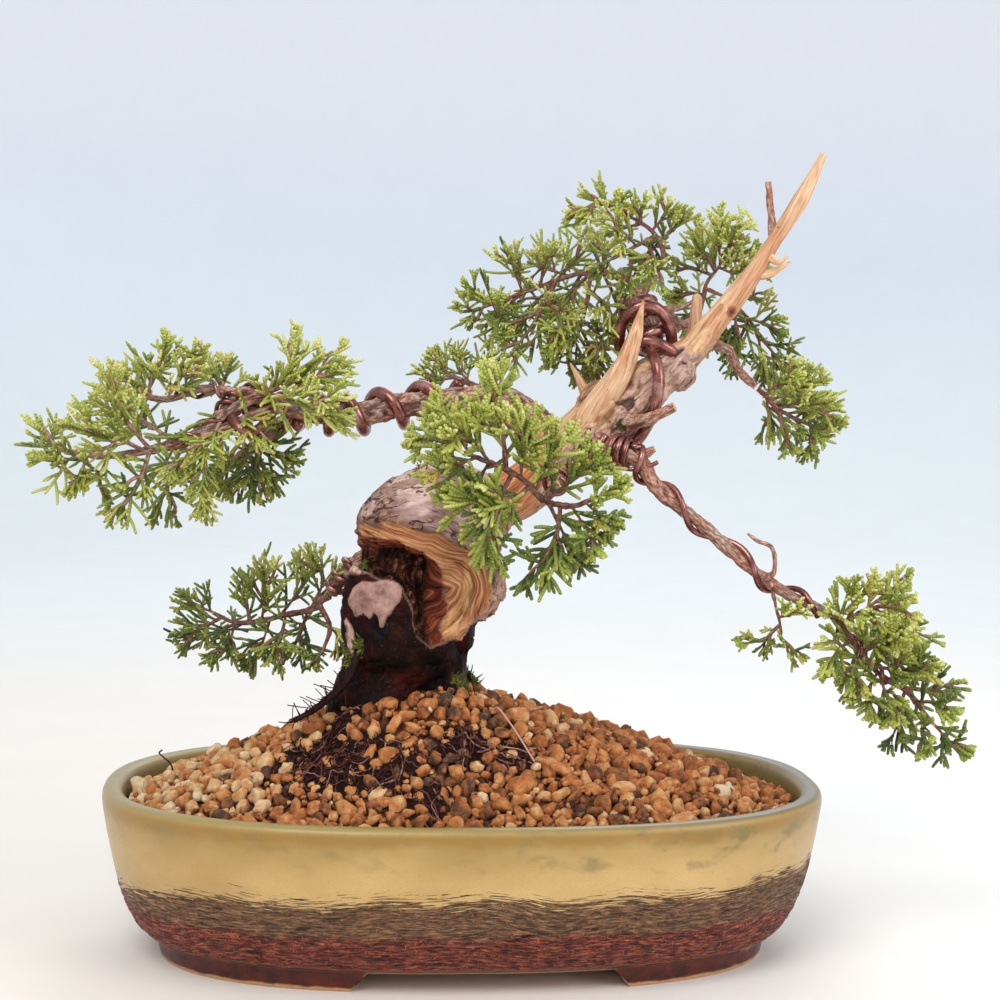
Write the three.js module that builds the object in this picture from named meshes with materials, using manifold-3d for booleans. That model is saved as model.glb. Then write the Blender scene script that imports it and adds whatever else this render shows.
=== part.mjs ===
// A juniper bonsai in an oval stoneware pot: twisted trunk with deadwood, wired branches,
// scale-leaf foliage in separate pads, granular soil, and mesh over the two drain holes.
// Millimetres, +Z up, +X along the pot's long axis, the viewer at -Y.
import * as THREE from "three";
import { mergeVertices } from "three/addons/utils/BufferGeometryUtils.js";
import Module from "manifold-3d";

const wasm = await Module();
wasm.setup();

// ---------- driving dimensions ----------
const GAP = 0.35;
const WELD = 1e-4;
const EDGE_TOLERANCE = 0.09;

const POT = {
  halfLength: 120,
  halfWidth: 76,
  height: 56,
  roundness: 2.45,
  segments: 38,
  footHeight: 7.5,
  floorTop: 14,
};
// How far the outer face stands inside the rim's outline, from the foot line up: [inset, height].
const POT_OUTSIDE = [
  [18.4, 6.2],
  [14.8, 8.2],
  [10.4, 13],
  [6.7, 21],
  [3.7, 31.5],
  [1.2, 44],
  [0, 53.6],
  [0.9, 55.6],
];
// The rim's flat top and the inner face, from the top down.
const POT_INSIDE = [
  [2.6, 56],
  [5.6, 55.7],
  [7, 54],
  [8.4, 40],
  [12.4, 21],
  [20, 14],
];
// Feet stand under the wall: outer and inner inset at the floor, and where each inner end is cut.
const FOOT = { outer: 18.9, inner: 31, top: 8.2, slant: 6.2, gapLeft: -38.5, gapRight: 50, endGap: 15 };
const DRAIN = { radius: 8.5, x: 46, sides: 20 };
const MESH = { size: 30, thickness: 1.4, holes: 3, hole: 5.2, pitch: 8.6 };

const SOIL = { edgeHeight: 49.5, rise: 33.5, centreX: -4, reachX: 110, reachY: 68, fall: 1.6 };
const GRANULE = { pitch: 14.2, top: 4.4, topReach: 0.4, dip: 1.2, jitter: 2 };

const WIRE_THICK = 2;
const WIRE_THIN = 1.05;
const WIRE_CLEARANCE = 0.8;
const FINGER = { root: 0.5, tip: 0.72, shortest: 7.5, longest: 12, spacing: 9.6 };
const TWIG = { root: 1.2, tip: 0.85 };
const GOLDEN_ANGLE = Math.PI * (3 - Math.sqrt(5));

// ---------- the tree's skeleton: points are [x, y, z, radius] ----------
const TRUNK_LOW = [
  [-20, 2, 60, 17],
  [-21, 2, 72, 23],
  [-22, 2, 82, 24.5],
  [-21.5, 1, 92, 21],
  [-21, -1, 103, 19.5],
  [-21.5, -4, 116, 20.5],
  [-18, -3, 126, 18],
  [-12, -1, 136, 17],
  [-6, 1, 143, 14],
  [0, 3, 147, 10],
];
const TRUNK_HIGH = [
  [-10, 0, 138, 13],
  [-2, 3, 145, 12.5],
  [7, 6, 148, 10.5],
  [17, 8, 151.5, 9],
  [27, 8, 159, 8.8],
  [35, 7, 167.5, 9.2],
  [43, 6, 175, 9],
  [52, 5, 182, 8.4],
  [60, 4, 188.5, 8],
  [69, 4, 196, 7.2],
  [75, 4, 201, 6],
  [82, 3, 210, 4.7],
  [91, 2, 221.5, 3.8],
  [97, 1, 230, 3.4],
  [102, 0, 238.5, 3],
  [110, -2, 252, 2.1],
  [117, -4, 267, 0.45],
];
const CAP = { centre: [-10.5, -3, 141.5], half: [25.5, 25, 20.5], tilt: -0.32 };
const CROWN_LUMP = { centre: [49, 6, 181], half: [13, 9.5, 10], tilt: 0.75 };
const ROOTS = [
  [[-36, -6, 88, 7], [-43, -10, 79, 4.5], [-48, -13, 68, 2.5]],
  [[-8, -8, 88, 7], [0, -14, 79, 4.5], [6, -19, 68, 2.5]],
  [[-27, 16, 88, 7], [-31, 25, 79, 4.5], [-34, 31, 68, 2.5]],
  [[-3, 9, 86, 6], [6, 14, 78, 4], [12, 18, 68, 2.4]],
];
const JINS = [
  [
    [36, 1, 171, 5.5], [43.5, -1, 183, 4.7], [50.5, -2, 193.5, 3.9], [55, -2, 206, 2.4],
    [57.5, -3, 217.5, 0.4],
  ],
  [[43, 8, 178, 2.8], [40, 10, 187, 1.9], [35, 12, 196.5, 0.4]],
  [[75, 8, 200, 3.4], [77.5, 12, 208, 2.3], [78.6, 14, 220.5, 1.2]],
  [[50, 1, 175.5, 3.6], [58, -4, 177.5, 2.6], [68, -8, 181.5, 2.2]],
  [[102, 0, 239, 1.7], [101, 1, 245, 1.3], [99.7, 2, 258, 0.7]],
  [[96, 1, 227, 1.9], [101, 2, 227.5, 1.6], [108.5, 4, 231.5, 0.4]],
  [[100, 0, 233, 1.6], [103, -2, 231, 1.1], [106, -3, 233, 0.4]],
  [[67, 12, 214.5, 1.4], [74, 14, 216, 1.1], [79, 16, 219, 0.5]],
];
const LIMBS = {
  left: [
    [31, 10, 168, 6], [22, 14, 178, 5], [10, 16, 184, 4.4], [-8, 13, 182.5, 4.2], [-24.5, 8, 180.5, 4],
    [-39.5, 4, 178, 3.6], [-50.5, 1, 178.5, 3.3], [-61, 0, 181, 3.1],
  ],
  right: [
    [42, 0, 171, 4.5], [48.5, -9, 168, 3.4], [55, -12, 165.5, 3], [61, -14, 156.5, 2.5],
    [76, -15, 144.5, 2.2], [93, -16, 129.6, 2], [106.5, -17, 120.8, 1.8], [120, -18, 114.5, 1.6],
  ],
  low: [
    [-26, 2, 134, 4], [-33, 8, 130.5, 3], [-37, 11, 127.5, 2.6], [-42, 14, 121, 2.2], [-45, 16.5, 116.7, 2],
  ],
  apex: [
    [58, 5, 186, 5], [63.5, 7, 194.5, 3.8], [64, 9, 201, 3.5], [61.5, 12, 208, 3.3],
    [58.5, 14, 215, 3], [58, 16, 220.5, 2.8],
  ],
  apexLeft: [[58.4, 16, 219, 2.4], [56, 18, 224.5, 2.2], [51.5, 20, 226.8, 2]],
  apexUp: [[58, 16, 219.5, 2.2], [62.5, 16, 224.3, 2], [64.6, 16, 226.8, 1.8]],
  apexRight: [
    [61.2, 12.5, 209.5, 2.2], [69.5, 20, 213, 1.9], [75, 25, 210, 1.8], [80.2, 27.8, 211.2, 1.7],
  ],
  rightBack: [
    [75, 6, 203, 3.2], [82, 14, 204.5, 1.9], [88, 18, 202.5, 1.7], [91.5, 20, 201, 1.6],
    [94, 20, 195.5, 1.5], [97.5, 19, 191.5, 1.5], [100.6, 18.2, 189, 1.4],
  ],
  front: [[31, 4, 162, 4], [29, -7, 158, 2.6], [27.6, -14, 156, 2.3]],
  behind: [[23, 13, 177.5, 3.4], [16.5, 21, 183, 1.7], [11, 24, 185.3, 1.4]],
  tuft: [[95, -16, 127.8, 1.8], [99, -17.4, 126.5, 1.1], [100, -18, 123.4, 1]],
  deadTwig: [
    [97, -16.5, 126.5, 1.5], [100, -20, 128.5, 0.9], [99, -21, 137, 0.8], [94.5, -20, 139, 0.7],
    [91, -20, 141.5, 0.45],
  ],
};

// Where each wire is wound: the limb it follows, from and to as a share of the limb's control points,
// turns between them, and the angle at which it starts.
const WIRES = {
  wire_left_branch: {
    radius: WIRE_THICK,
    stretches: [{ limb: "left", from: 0.37, to: 0.93, turns: 4.5, phase: 0.4 }],
  },
  wire_apex: {
    radius: WIRE_THICK,
    stretches: [
      { limb: "apex", from: 0.43, to: 0.61, turns: 1.5, phase: 0.2 },
      { limb: "apex", from: 0.7, to: 0.93, turns: 2, phase: 9.62 },
    ],
  },
  wire_right_branch: {
    radius: WIRE_THIN,
    stretches: [
      { limb: "right", from: 0.2, to: 0.33, turns: 4, phase: 0.6 },
      { limb: "right", from: 0.345, to: 0.97, turns: 8, phase: 0.6 },
    ],
  },
  wire_low_branch: {
    radius: WIRE_THIN,
    stretches: [{ limb: "low", from: 0.42, to: 0.93, turns: 3, phase: 1 }],
  },
};

// Foliage pads: the stems that carry them, as [x, y, z, radius], and the twigs, as [x, y, z].
const PADS = {
  foliage_left: {
    seed: 11,
    stems: [
      [
        [-61.9, 0, 181.2, 2.9], [-68.5, -2, 184, 2.6], [-76, -4, 184.5, 2.3], [-81, -6, 179, 2],
        [-91, -8, 170.5, 1.8], [-106.5, -8, 166, 1.5], [-119, -8, 164, 1.2],
        [-132, -8, 165.5, 0.9],
      ],
      [[-75, -4, 184.4, 1.9], [-87.5, 2, 186, 1.4], [-100, 4, 182.5, 1.2], [-106.5, 6, 183, 1]],
      [[-65, -0.6, 182.4, 1.9], [-66.5, 8, 173, 1.3], [-71, 12, 168, 1.2], [-77.5, 16, 163, 1]],
    ],
    twigs: [
      [[-106.5, -8, 166], [-113.5, -16, 170], [-120.5, -22, 172.5], [-130.5, -26, 175]],
      [[-104.5, -8, 166.5], [-110, -16, 174.5], [-114.5, -22, 183.5], [-118, -24, 191.5]],
      [[-106.5, 6, 183], [-105, 4, 189], [-102, 2, 195.5], [-99.5, 0, 201.5]],
      [[-104, 5.4, 182.8], [-110.5, 4, 187], [-115.5, 2, 191.5]],
      [[-100, 4, 182.5], [-95.5, -6, 189], [-92.5, -10, 193]],
      [[-131, -8, 165.4], [-137.5, -4, 168.5], [-143.5, 2, 170]],
      [[-127, -8, 164.7], [-132.5, -14, 162.5], [-139.5, -18, 164.5]],
      [[-124.5, -8, 164.5], [-126, -14, 159], [-128.5, -16, 153]],
      [[-117.5, -8, 164.2], [-120.5, -10, 157], [-119, -8, 150]],
      [[-104.5, -8, 166.5], [-106.5, -14, 158.5], [-110.5, -16, 151], [-114, -14, 146.5]],
      [[-96.5, -8, 168.5], [-105.5, 8, 173.5], [-116.5, 18, 177.5], [-128, 26, 180.5]],
      [[-92, -8, 170], [-98, 4, 160.5], [-100.5, 8, 152], [-105, 8, 143.5]],
      [[-90, -8, 171.4], [-86.5, -12, 162], [-87, -14, 154], [-88, -12, 148]],
      [[-71.5, 12.4, 167.6], [-77, 14, 158.5], [-80, 14, 151]],
      [[-76.5, 15.4, 163.8], [-82.5, 18, 159], [-88, 20, 154.5]],
      [[-70, 11.4, 169], [-64.5, 10, 164], [-56.5, 8, 162]],
      [[-68.5, -2, 184], [-60.5, -18, 183.5], [-52, -26, 181], [-41.5, -28, 176]],
      [[-68.5, -2, 184.6], [-59, -12, 188.5], [-50, -18, 191], [-41.5, -20, 192.5]],
      [[-67.5, -2, 183.5], [-60.5, -20, 178.5], [-54, -26, 173.5]],
      [[-72.5, -3, 184.5], [-64, -14, 187], [-58.5, -16, 193.5], [-54.5, -16, 199.5]],
      [[-78, -4.6, 182.6], [-83.5, 8, 189], [-87, 12, 193]],
    ],
  },
  foliage_low_left: {
    seed: 23,
    stems: [
      [
        [-45.7, 17, 115.9, 1.9], [-53, 22, 110, 1.5], [-60.5, 26, 108, 1.3], [-69, 28, 105.5, 1.2],
        [-78, 30, 104.5, 1], [-86, 31, 108, 0.8],
      ],
      [[-49.5, 19.6, 113, 1.2], [-45.5, 14, 105, 1], [-48, 10, 97.5, 0.8]],
    ],
    twigs: [
      [[-85, 31, 107.6], [-91, 32, 110], [-96.5, 32, 113]],
      [[-82.5, 30.6, 106.4], [-90, 30, 102.5], [-97.5, 28, 100]],
      [[-78, 30, 104.5], [-80.5, 24, 97.5], [-84.5, 20, 92.5]],
      [[-73, 29, 105], [-74.5, 30, 111.5], [-78, 30, 119.5]],
      [[-69, 28, 105.5], [-67.5, 22, 116], [-68.5, 18, 125.5]],
      [[-66, 27.4, 106.4], [-70, 32, 94.5], [-73.5, 34, 90]],
      [[-60.5, 26, 108], [-62.5, 16, 100.5], [-66, 12, 94]],
      [[-62.5, 26.4, 107.4], [-56, 34, 115.5], [-53, 38, 119.5]],
      [[-53, 22, 110], [-55.5, 30, 101.5], [-58.5, 34, 94]],
      [[-51.5, 21, 111.2], [-48, 18, 121.5], [-53, 14, 131]],
      [[-46.5, 15.4, 107], [-42, 14, 101], [-40, 12, 95.5]],
      [[-48, 10, 97.5], [-51.5, 8, 93]],
      [[-76.5, 29.6, 104.8], [-86, 44, 99], [-92.5, 50, 95.5]],
    ],
  },
  foliage_centre: {
    seed: 37,
    stems: [
      [[27.4, -14.9, 155.7, 2.1], [24, -30, 154, 1.6], [21.5, -42, 153, 1.4]],
      [[21.5, -41, 153, 1.3], [13, -50, 161, 1.1], [3, -54, 166, 1], [-5.5, -54, 169, 0.8]],
      [[21.5, -41, 153, 1.2], [29, -50, 152.5, 1], [35, -52, 154.5, 0.8]],
    ],
    twigs: [
      [[-5, -54, 168.8], [-12.5, -52, 172.5], [-21, -48, 174]],
      [[-1.5, -54, 167.5], [-9.5, -60, 164.5], [-16.5, -62, 161.5]],
      [[3, -54, 166], [-4, -62, 174], [-11, -66, 178]],
      [[8, -52, 163.6], [6.5, -58, 174.5], [3, -58, 185], [2, -54, 192]],
      [[13, -50, 161], [12.5, -60, 172], [11, -64, 181]],
      [[18, -45, 156.4], [21, -56, 167], [23, -58, 176]],
      [[21.5, -42, 153], [30.5, -46, 161], [38.5, -46, 166]],
      [[34.5, -52, 154.3], [39.5, -54, 157], [44.5, -54, 159]],
      [[33, -51.4, 153.8], [37.5, -56, 150], [42, -56, 148]],
      [[29, -50, 152.5], [33, -54, 146], [36.5, -54, 140.5]],
      [[26, -46.5, 152.8], [24.5, -50, 143.5], [21, -50, 135.5], [21.5, -46, 128]],
      [[22.5, -42, 153], [30, -40, 139], [34, -36, 134]],
      [[16, -47, 158.2], [7.5, -58, 153], [-0.5, -62, 154.5], [-9, -62, 157.5]],
      [[10, -51, 162.4], [4.5, -60, 152], [2, -62, 144.5], [2, -60, 136]],
      [[3, -54, 166], [0, -44, 160], [-2, -38, 155]],
      [[-3, -54, 168.2], [-8, -42, 175.5], [-14, -34, 178]],
    ],
  },
  foliage_crown_left: {
    seed: 41,
    stems: [
      [
        [50.7, 20.3, 226.9, 1.8], [40, 24, 227, 1.4], [31.5, 26, 224.5, 1.2], [20, 28, 220, 1],
        [10.5, 28, 216.5, 0.8],
      ],
      [[43, 22.9, 227, 1.3], [41.5, 22, 216, 1.1], [38.5, 20, 206, 0.9]],
      [[31.5, 26, 224.5, 1.1], [25.5, 22, 213.5, 1], [20, 18, 204.5, 0.8]],
    ],
    twigs: [
      [[11, 28, 216.7], [6, 28, 218.5], [0, 28, 221.5]],
      [[15.5, 28, 218.4], [11.5, 20, 211], [10.5, 12, 217]],
      [[20, 28, 220], [17, 26, 228], [14.5, 24, 234]],
      [[26, 27, 222.4], [27, 22, 230.5], [30, 20, 235.5]],
      [[31.5, 26, 224.5], [37.5, 32, 231], [43.5, 36, 236]],
      [[25.5, 22, 213.5], [19, 22, 210], [13.5, 22, 202]],
      [[22, 19.4, 207.6], [16.5, 14, 201], [13, 10, 196.5]],
      [[27.5, 23.4, 217.5], [31.5, 12, 211.5], [32, 8, 203.5]],
      [[41.5, 22, 216], [38, 32, 210.5], [34.5, 38, 202]],
      [[40, 21, 211], [45.5, 14, 205], [46.5, 10, 199]],
      [[38.5, 20, 206], [35.5, 20, 198], [37, 20, 190.5]],
      [[42.2, 22.4, 221.5], [47, 12, 216], [50, 8, 209.5]],
      [[40, 24, 227], [37, 42, 219.5], [33, 50, 214.5]],
      [[36, 25, 225.8], [30, 40, 229], [23.5, 48, 231.5]],
      [[39.3, 20.4, 208.5], [45, 32, 200], [49, 38, 193]],
      [[46, 22, 227], [46.5, 16, 233], [45, 14, 238]],
    ],
  },
  foliage_crown_top: {
    seed: 53,
    stems: [
      [
        [65, 16, 227.6, 1.6], [67, 16, 234, 1.4], [62.5, 14, 241.5, 1.2], [53.5, 12, 246.5, 1],
        [45.5, 12, 250.5, 0.8],
      ],
      [[63.5, 14.4, 239.8, 1.1], [56.5, 8, 236, 1], [49.5, 4, 232.5, 0.8]],
    ],
    twigs: [
      [[46, 12, 250.2], [40.5, 12, 248.5], [33.5, 12, 244.5]],
      [[48.5, 12, 249], [43, 8, 252.5], [36, 6, 249.5]],
      [[53.5, 12, 246.5], [51.5, 8, 251.5], [50, 6, 256]],
      [[58.5, 13, 243.7], [57.5, 8, 250.5], [58.5, 6, 254.5]],
      [[62.5, 14, 241.5], [66, 10, 246.5], [67, 8, 250]],
      [[65, 15, 237.6], [70, 12, 242.5], [71.5, 10, 247]],
      [[56.5, 8, 236], [50, -2, 240], [44.5, -8, 241.5]],
      [[50, 4.3, 232.7], [45, 2, 230], [40.5, 0, 227.5]],
      [[54, 6.6, 234.7], [53.5, 2, 227], [50.5, 0, 221]],
      [[60, 11.2, 237.8], [61.5, 0, 230.5], [60, -3, 226]],
      [[58.5, 13, 243.7], [54.5, 28, 243], [50, 36, 241]],
      [[63.5, 14.3, 239.8], [64.5, 30, 235.5], [62.5, 38, 232]],
    ],
  },
  foliage_crown_right: {
    seed: 67,
    stems: [
      [
        [81, 28.2, 212.6, 1.4], [83, 27, 218.5, 1.3], [84, 26, 224.5, 1.1], [87, 26, 228.5, 1],
        [90, 26, 233, 0.8],
      ],
      [[83.7, 26.2, 222.5, 1.1], [93, 32, 219, 1], [100.5, 34, 212.5, 0.9], [106.5, 34, 204.5, 0.8]],
    ],
    twigs: [
      [[89.7, 26, 232.5], [92, 22, 239.5], [94, 20, 244.5]],
      [[88.5, 26, 230.8], [87, 22, 239], [84.5, 20, 245]],
      [[87, 26, 228.5], [81.5, 22, 235], [78, 20, 239.5]],
      [[86, 26, 227.2], [80, 30, 229.5], [74, 30, 231.5]],
      [[89.5, 26, 232.2], [96.5, 30, 235], [101, 30, 237]],
      [[88, 26, 230], [92.5, 18, 228], [98, 14, 231.5]],
      [[87, 26, 228.5], [88.5, 40, 236.5], [90.5, 46, 242]],
      [[89.7, 26, 232.6], [99.5, 42, 232.5], [103.5, 48, 229.5]],
      [[83.3, 26.7, 220.4], [78.5, 32, 221], [73, 34, 219]],
      [[83.7, 26.4, 222], [81, 34, 214.5], [79, 38, 208]],
      [[93, 32, 219], [99.5, 34, 220.5], [105.5, 34, 219]],
      [[96, 32.8, 216.4], [96.5, 36, 208.5], [98, 38, 200.5]],
      [[100.5, 34, 212.5], [106, 30, 210.5], [111, 28, 208]],
      [[106, 34, 205.2], [111, 34, 199], [114, 32, 194]],
      [[104, 34, 207.8], [107, 40, 198.5], [108.5, 42, 191]],
    ],
  },
  foliage_right_back: {
    seed: 71,
    stems: [
      [[101.3, 18.1, 188.3, 1.3], [108, 16, 181.5, 1.1], [114, 16, 178, 0.9], [117.5, 14, 173.5, 0.8]],
    ],
    twigs: [
      [[103.5, 17.4, 186], [108.5, 12, 191.5], [113.5, 8, 193.5]],
      [[105.5, 16.8, 184], [113.5, 12, 188], [121.5, 8, 191]],
      [[108, 16, 181.5], [116, 8, 184], [126, 4, 183.5]],
      [[111, 16, 179.8], [121, 20, 180.5], [131.5, 22, 179]],
      [[114, 16, 178], [121.5, 12, 175], [128, 10, 174]],
      [[109, 16, 181], [109, 12, 173.5], [112.5, 10, 167.5]],
      [[107, 16.3, 182.6], [116, 32, 185], [125.5, 40, 184.5]],
      [[112.5, 16, 178.9], [121.5, 30, 176], [128.5, 36, 172.5]],
      [[104, 17.2, 185.6], [107, 26, 180], [110, 30, 173.5]],
      [[117.2, 14.2, 174], [119.5, 12, 170.5], [117, 10, 166]],
    ],
  },
  foliage_cascade: {
    seed: 83,
    stems: [
      [
        [120.7, -18, 113.9, 1.5], [127.5, -18, 106, 1.4], [134, -18, 97.5, 1.2],
        [140, -18, 92.5, 1.1], [146, -18, 89, 1], [156.5, -18, 77.5, 0.8],
      ],
      [[123.5, -18, 110.6, 1.1], [129.5, -22, 116, 0.9], [135, -26, 118.5, 0.7]],
    ],
    twigs: [
      [[125, -19, 112], [128, -22, 120], [132.5, -22, 126]],
      [[129.5, -22, 116], [137, -22, 121], [145, -20, 123.5]],
      [[134.6, -25.8, 118.3], [139, -32, 118.5], [143.5, -34, 116]],
      [[133, -24.6, 117.7], [143, -14, 110.5], [149.5, -10, 105]],
      [[127.5, -18, 106], [120.5, -28, 104], [116.5, -32, 99]],
      [[130.5, -18, 102], [135, -32, 108], [141, -38, 109]],
      [[132.5, -18, 99.5], [130, -8, 93.5], [129.5, -4, 85.5]],
      [[134, -18, 97.5], [144, -8, 99.5], [156, -2, 100.5]],
      [[136.5, -18, 95.4], [131, -28, 90], [132, -30, 83.5]],
      [[140, -18, 92.5], [145.5, -28, 98], [151.5, -32, 96]],
      [[143, -18, 90.8], [153.5, -10, 88], [164.5, -6, 86.5]],
      [[146, -18, 89], [145.5, -12, 79.5], [149, -10, 71.5]],
      [[149.5, -18, 85.2], [154.5, -26, 86], [158, -28, 82]],
      [[153, -18, 81.3], [150.5, -24, 76], [151.5, -26, 71]],
      [[156, -18, 78], [162, -18, 71.5], [169, -18, 64]],
      [[134, -18, 97.5], [136.5, -2, 100], [141, 6, 104]],
    ],
  },
  foliage_behind: {
    seed: 97,
    stems: [[[10.3, 24.3, 185.6, 1.3], [2.5, 28, 188.5, 1], [-5.5, 30, 191.5, 0.8]]],
    twigs: [
      [[-5, 29.9, 191.3], [-8, 30, 194.5], [-9.5, 30, 199]],
      [[2.5, 28, 188.5], [-1.5, 32, 193.5], [-2.5, 34, 199]],
      [[-2.5, 29.2, 190.4], [-9, 26, 190], [-16, 24, 192]],
      [[5.5, 26.6, 187.4], [7.5, 34, 192.5], [10.5, 38, 195]],
    ],
  },
  foliage_tuft: {
    seed: 101,
    stems: [[[100.3, -18, 122.2, 1], [101.5, -18, 117, 0.9], [103, -18, 112, 0.8], [103.5, -18, 106, 0.7]]],
    twigs: [
      [[103, -18, 111], [97.5, -16, 105.5], [91.5, -14, 106]],
      [[103.5, -18, 106.4], [106, -22, 104], [108, -24, 101]],
      [[102.5, -18, 113.4], [105.5, -22, 115], [108, -24, 118.5]],
    ],
  },
};

// ---------- materials ----------
const MATERIALS = {
  glaze: new THREE.MeshStandardMaterial({ color: 0xb9a36a, roughness: 0.35, metalness: 0 }),
  plasticMesh: new THREE.MeshStandardMaterial({ color: 0x2c3a30, roughness: 0.7, metalness: 0 }),
  soil: new THREE.MeshStandardMaterial({ color: 0xa8744a, roughness: 0.95, metalness: 0 }),
  wood: new THREE.MeshStandardMaterial({ color: 0x8a5f45, roughness: 0.8, metalness: 0 }),
  copperWire: new THREE.MeshStandardMaterial({ color: 0x4a2a22, roughness: 0.35, metalness: 0.9 }),
  foliage: new THREE.MeshStandardMaterial({ color: 0x6f9438, roughness: 0.6, metalness: 0 }),
};

// ---------- helpers ----------
const { Manifold, Mesh: SolidMesh } = wasm;

// Repeatable random numbers from 0 to 1.
function randomFrom(seed) {
  let state = seed >>> 0;
  return () => {
    state = (state + 0x6d2b79f5) >>> 0;
    let mixed = Math.imul(state ^ (state >>> 15), state | 1);
    mixed ^= mixed + Math.imul(mixed ^ (mixed >>> 7), mixed | 61);
    return ((mixed ^ (mixed >>> 14)) >>> 0) / 4294967296;
  };
}

function surface(positions, faces) {
  const geometry = new THREE.BufferGeometry();
  geometry.setAttribute("position", new THREE.Float32BufferAttribute(positions, 3));
  geometry.setIndex(faces);
  return geometry;
}

function solidOf(geometry) {
  const bare = new THREE.BufferGeometry();
  bare.setAttribute("position", geometry.getAttribute("position"));
  bare.setIndex(geometry.index);
  const welded = mergeVertices(bare, WELD);
  return new Manifold(
    new SolidMesh({
      numProp: 3,
      vertProperties: new Float32Array(welded.attributes.position.array),
      triVerts: new Uint32Array(welded.index.array),
    }),
  );
}

function geometryOf(solid) {
  const { vertProperties, triVerts } = solid.getMesh();
  const geometry = surface(Array.from(vertProperties), Array.from(triVerts));
  geometry.computeVertexNormals();
  return geometry;
}

// The largest connected body, with edges too short to matter taken out.
function tidied(solid) {
  const bodies = solid.decompose();
  bodies.sort((a, b) => b.volume() - a.volume());
  return bodies[0].asOriginal().simplify(EDGE_TOLERANCE);
}

// A skin through rings of equal count, closed flat at both ends.
function loft(rings) {
  const count = rings[0].length;
  const positions = rings.flat().flatMap((p) => [p.x, p.y, p.z]);
  const faces = [];
  for (let i = 0; i + 1 < rings.length; i += 1) {
    for (let j = 0; j < count; j += 1) {
      const a = i * count + j;
      const b = i * count + ((j + 1) % count);
      faces.push(a, b, b + count, a, b + count, a + count);
    }
  }
  const last = (rings.length - 1) * count;
  for (let j = 1; j + 1 < count; j += 1) {
    faces.push(0, j + 1, j, last, last + j, last + j + 1);
  }
  return surface(positions, faces);
}

// Stations along a curve through the points, each with its place, its directions and its radius.
function stations(points, from, to, count) {
  const curve = new THREE.CatmullRomCurve3(
    points.map(([x, y, z]) => new THREE.Vector3(x, y, z)),
    false,
    "centripetal",
  );
  const spans = points.length - 1;
  const found = [];
  let side = null;
  for (let i = 0; i <= count; i += 1) {
    const share = from + ((to - from) * i) / count;
    const along = curve.getTangent(share).normalize();
    if (!side) {
      side = Math.abs(along.z) > 0.8 ? new THREE.Vector3(1, 0, 0) : new THREE.Vector3(0, 0, 1);
    }
    side = side.clone().addScaledVector(along, -side.dot(along)).normalize();
    const span = Math.min(Math.floor(share * spans), spans - 1);
    const part = share * spans - span;
    const radius = THREE.MathUtils.lerp(points[span][3], points[span + 1][3], part);
    const across = new THREE.Vector3().crossVectors(along, side);
    found.push({ share, place: curve.getPoint(share), along, side, across, radius });
  }
  return found;
}

function ringAt(station, sides, radiusAt) {
  return Array.from({ length: sides }, (_, j) => {
    const angle = (2 * Math.PI * j) / sides;
    const radius = radiusAt(station, angle);
    return station.place
      .clone()
      .addScaledVector(station.side, radius * Math.cos(angle))
      .addScaledVector(station.across, radius * Math.sin(angle));
  });
}

// A tapering limb of round or given section through points [x, y, z, radius].
function limb(points, sides, stepsPerSpan, radiusAt = (station) => station.radius) {
  const steps = (points.length - 1) * stepsPerSpan;
  return solidOf(loft(stations(points, 0, 1, steps).map((s) => ringAt(s, sides, radiusAt))));
}

function ellipsoid({ centre, half, tilt }, rows, columns, swell = 0) {
  const geometry = new THREE.SphereGeometry(1, columns, rows);
  geometry.deleteAttribute("normal");
  geometry.deleteAttribute("uv");
  geometry.scale(half[0] + swell, half[2] + swell, half[1] + swell);
  geometry.rotateX(Math.PI / 2);
  geometry.rotateY(tilt);
  geometry.translate(...centre);
  return solidOf(mergeVertices(geometry, 1e-3));
}

// ---------- pot ----------
function oval(inset, height, segments = POT.segments) {
  const power = 2 / POT.roundness;
  const bend = (value) => Math.sign(value) * Math.abs(value) ** power;
  return Array.from({ length: segments }, (_, j) => {
    const angle = (2 * Math.PI * j) / segments;
    return new THREE.Vector3(
      (POT.halfLength - inset) * bend(Math.cos(angle)),
      (POT.halfWidth - inset) * bend(Math.sin(angle)),
      height,
    );
  });
}

// A prism across the pot under the wall: the room between two feet, wider at the floor.
function footGap(left, right, depth) {
  const slope = FOOT.slant / POT.footHeight;
  const low = -1;
  const high = FOOT.top + 1;
  const outline = new THREE.Shape();
  outline.moveTo(left + slope * low, low);
  outline.lineTo(right - slope * low, low);
  outline.lineTo(right - slope * high, high);
  outline.lineTo(left + slope * high, high);
  const geometry = new THREE.ExtrudeGeometry(outline, { depth, bevelEnabled: false });
  geometry.rotateX(Math.PI / 2);
  return geometry;
}

function drainHole(x, radius) {
  const geometry = new THREE.CylinderGeometry(radius, radius, 2 * POT.floorTop, DRAIN.sides);
  geometry.rotateX(Math.PI / 2);
  geometry.translate(x, 0, POT.floorTop / 2);
  return solidOf(geometry);
}

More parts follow.
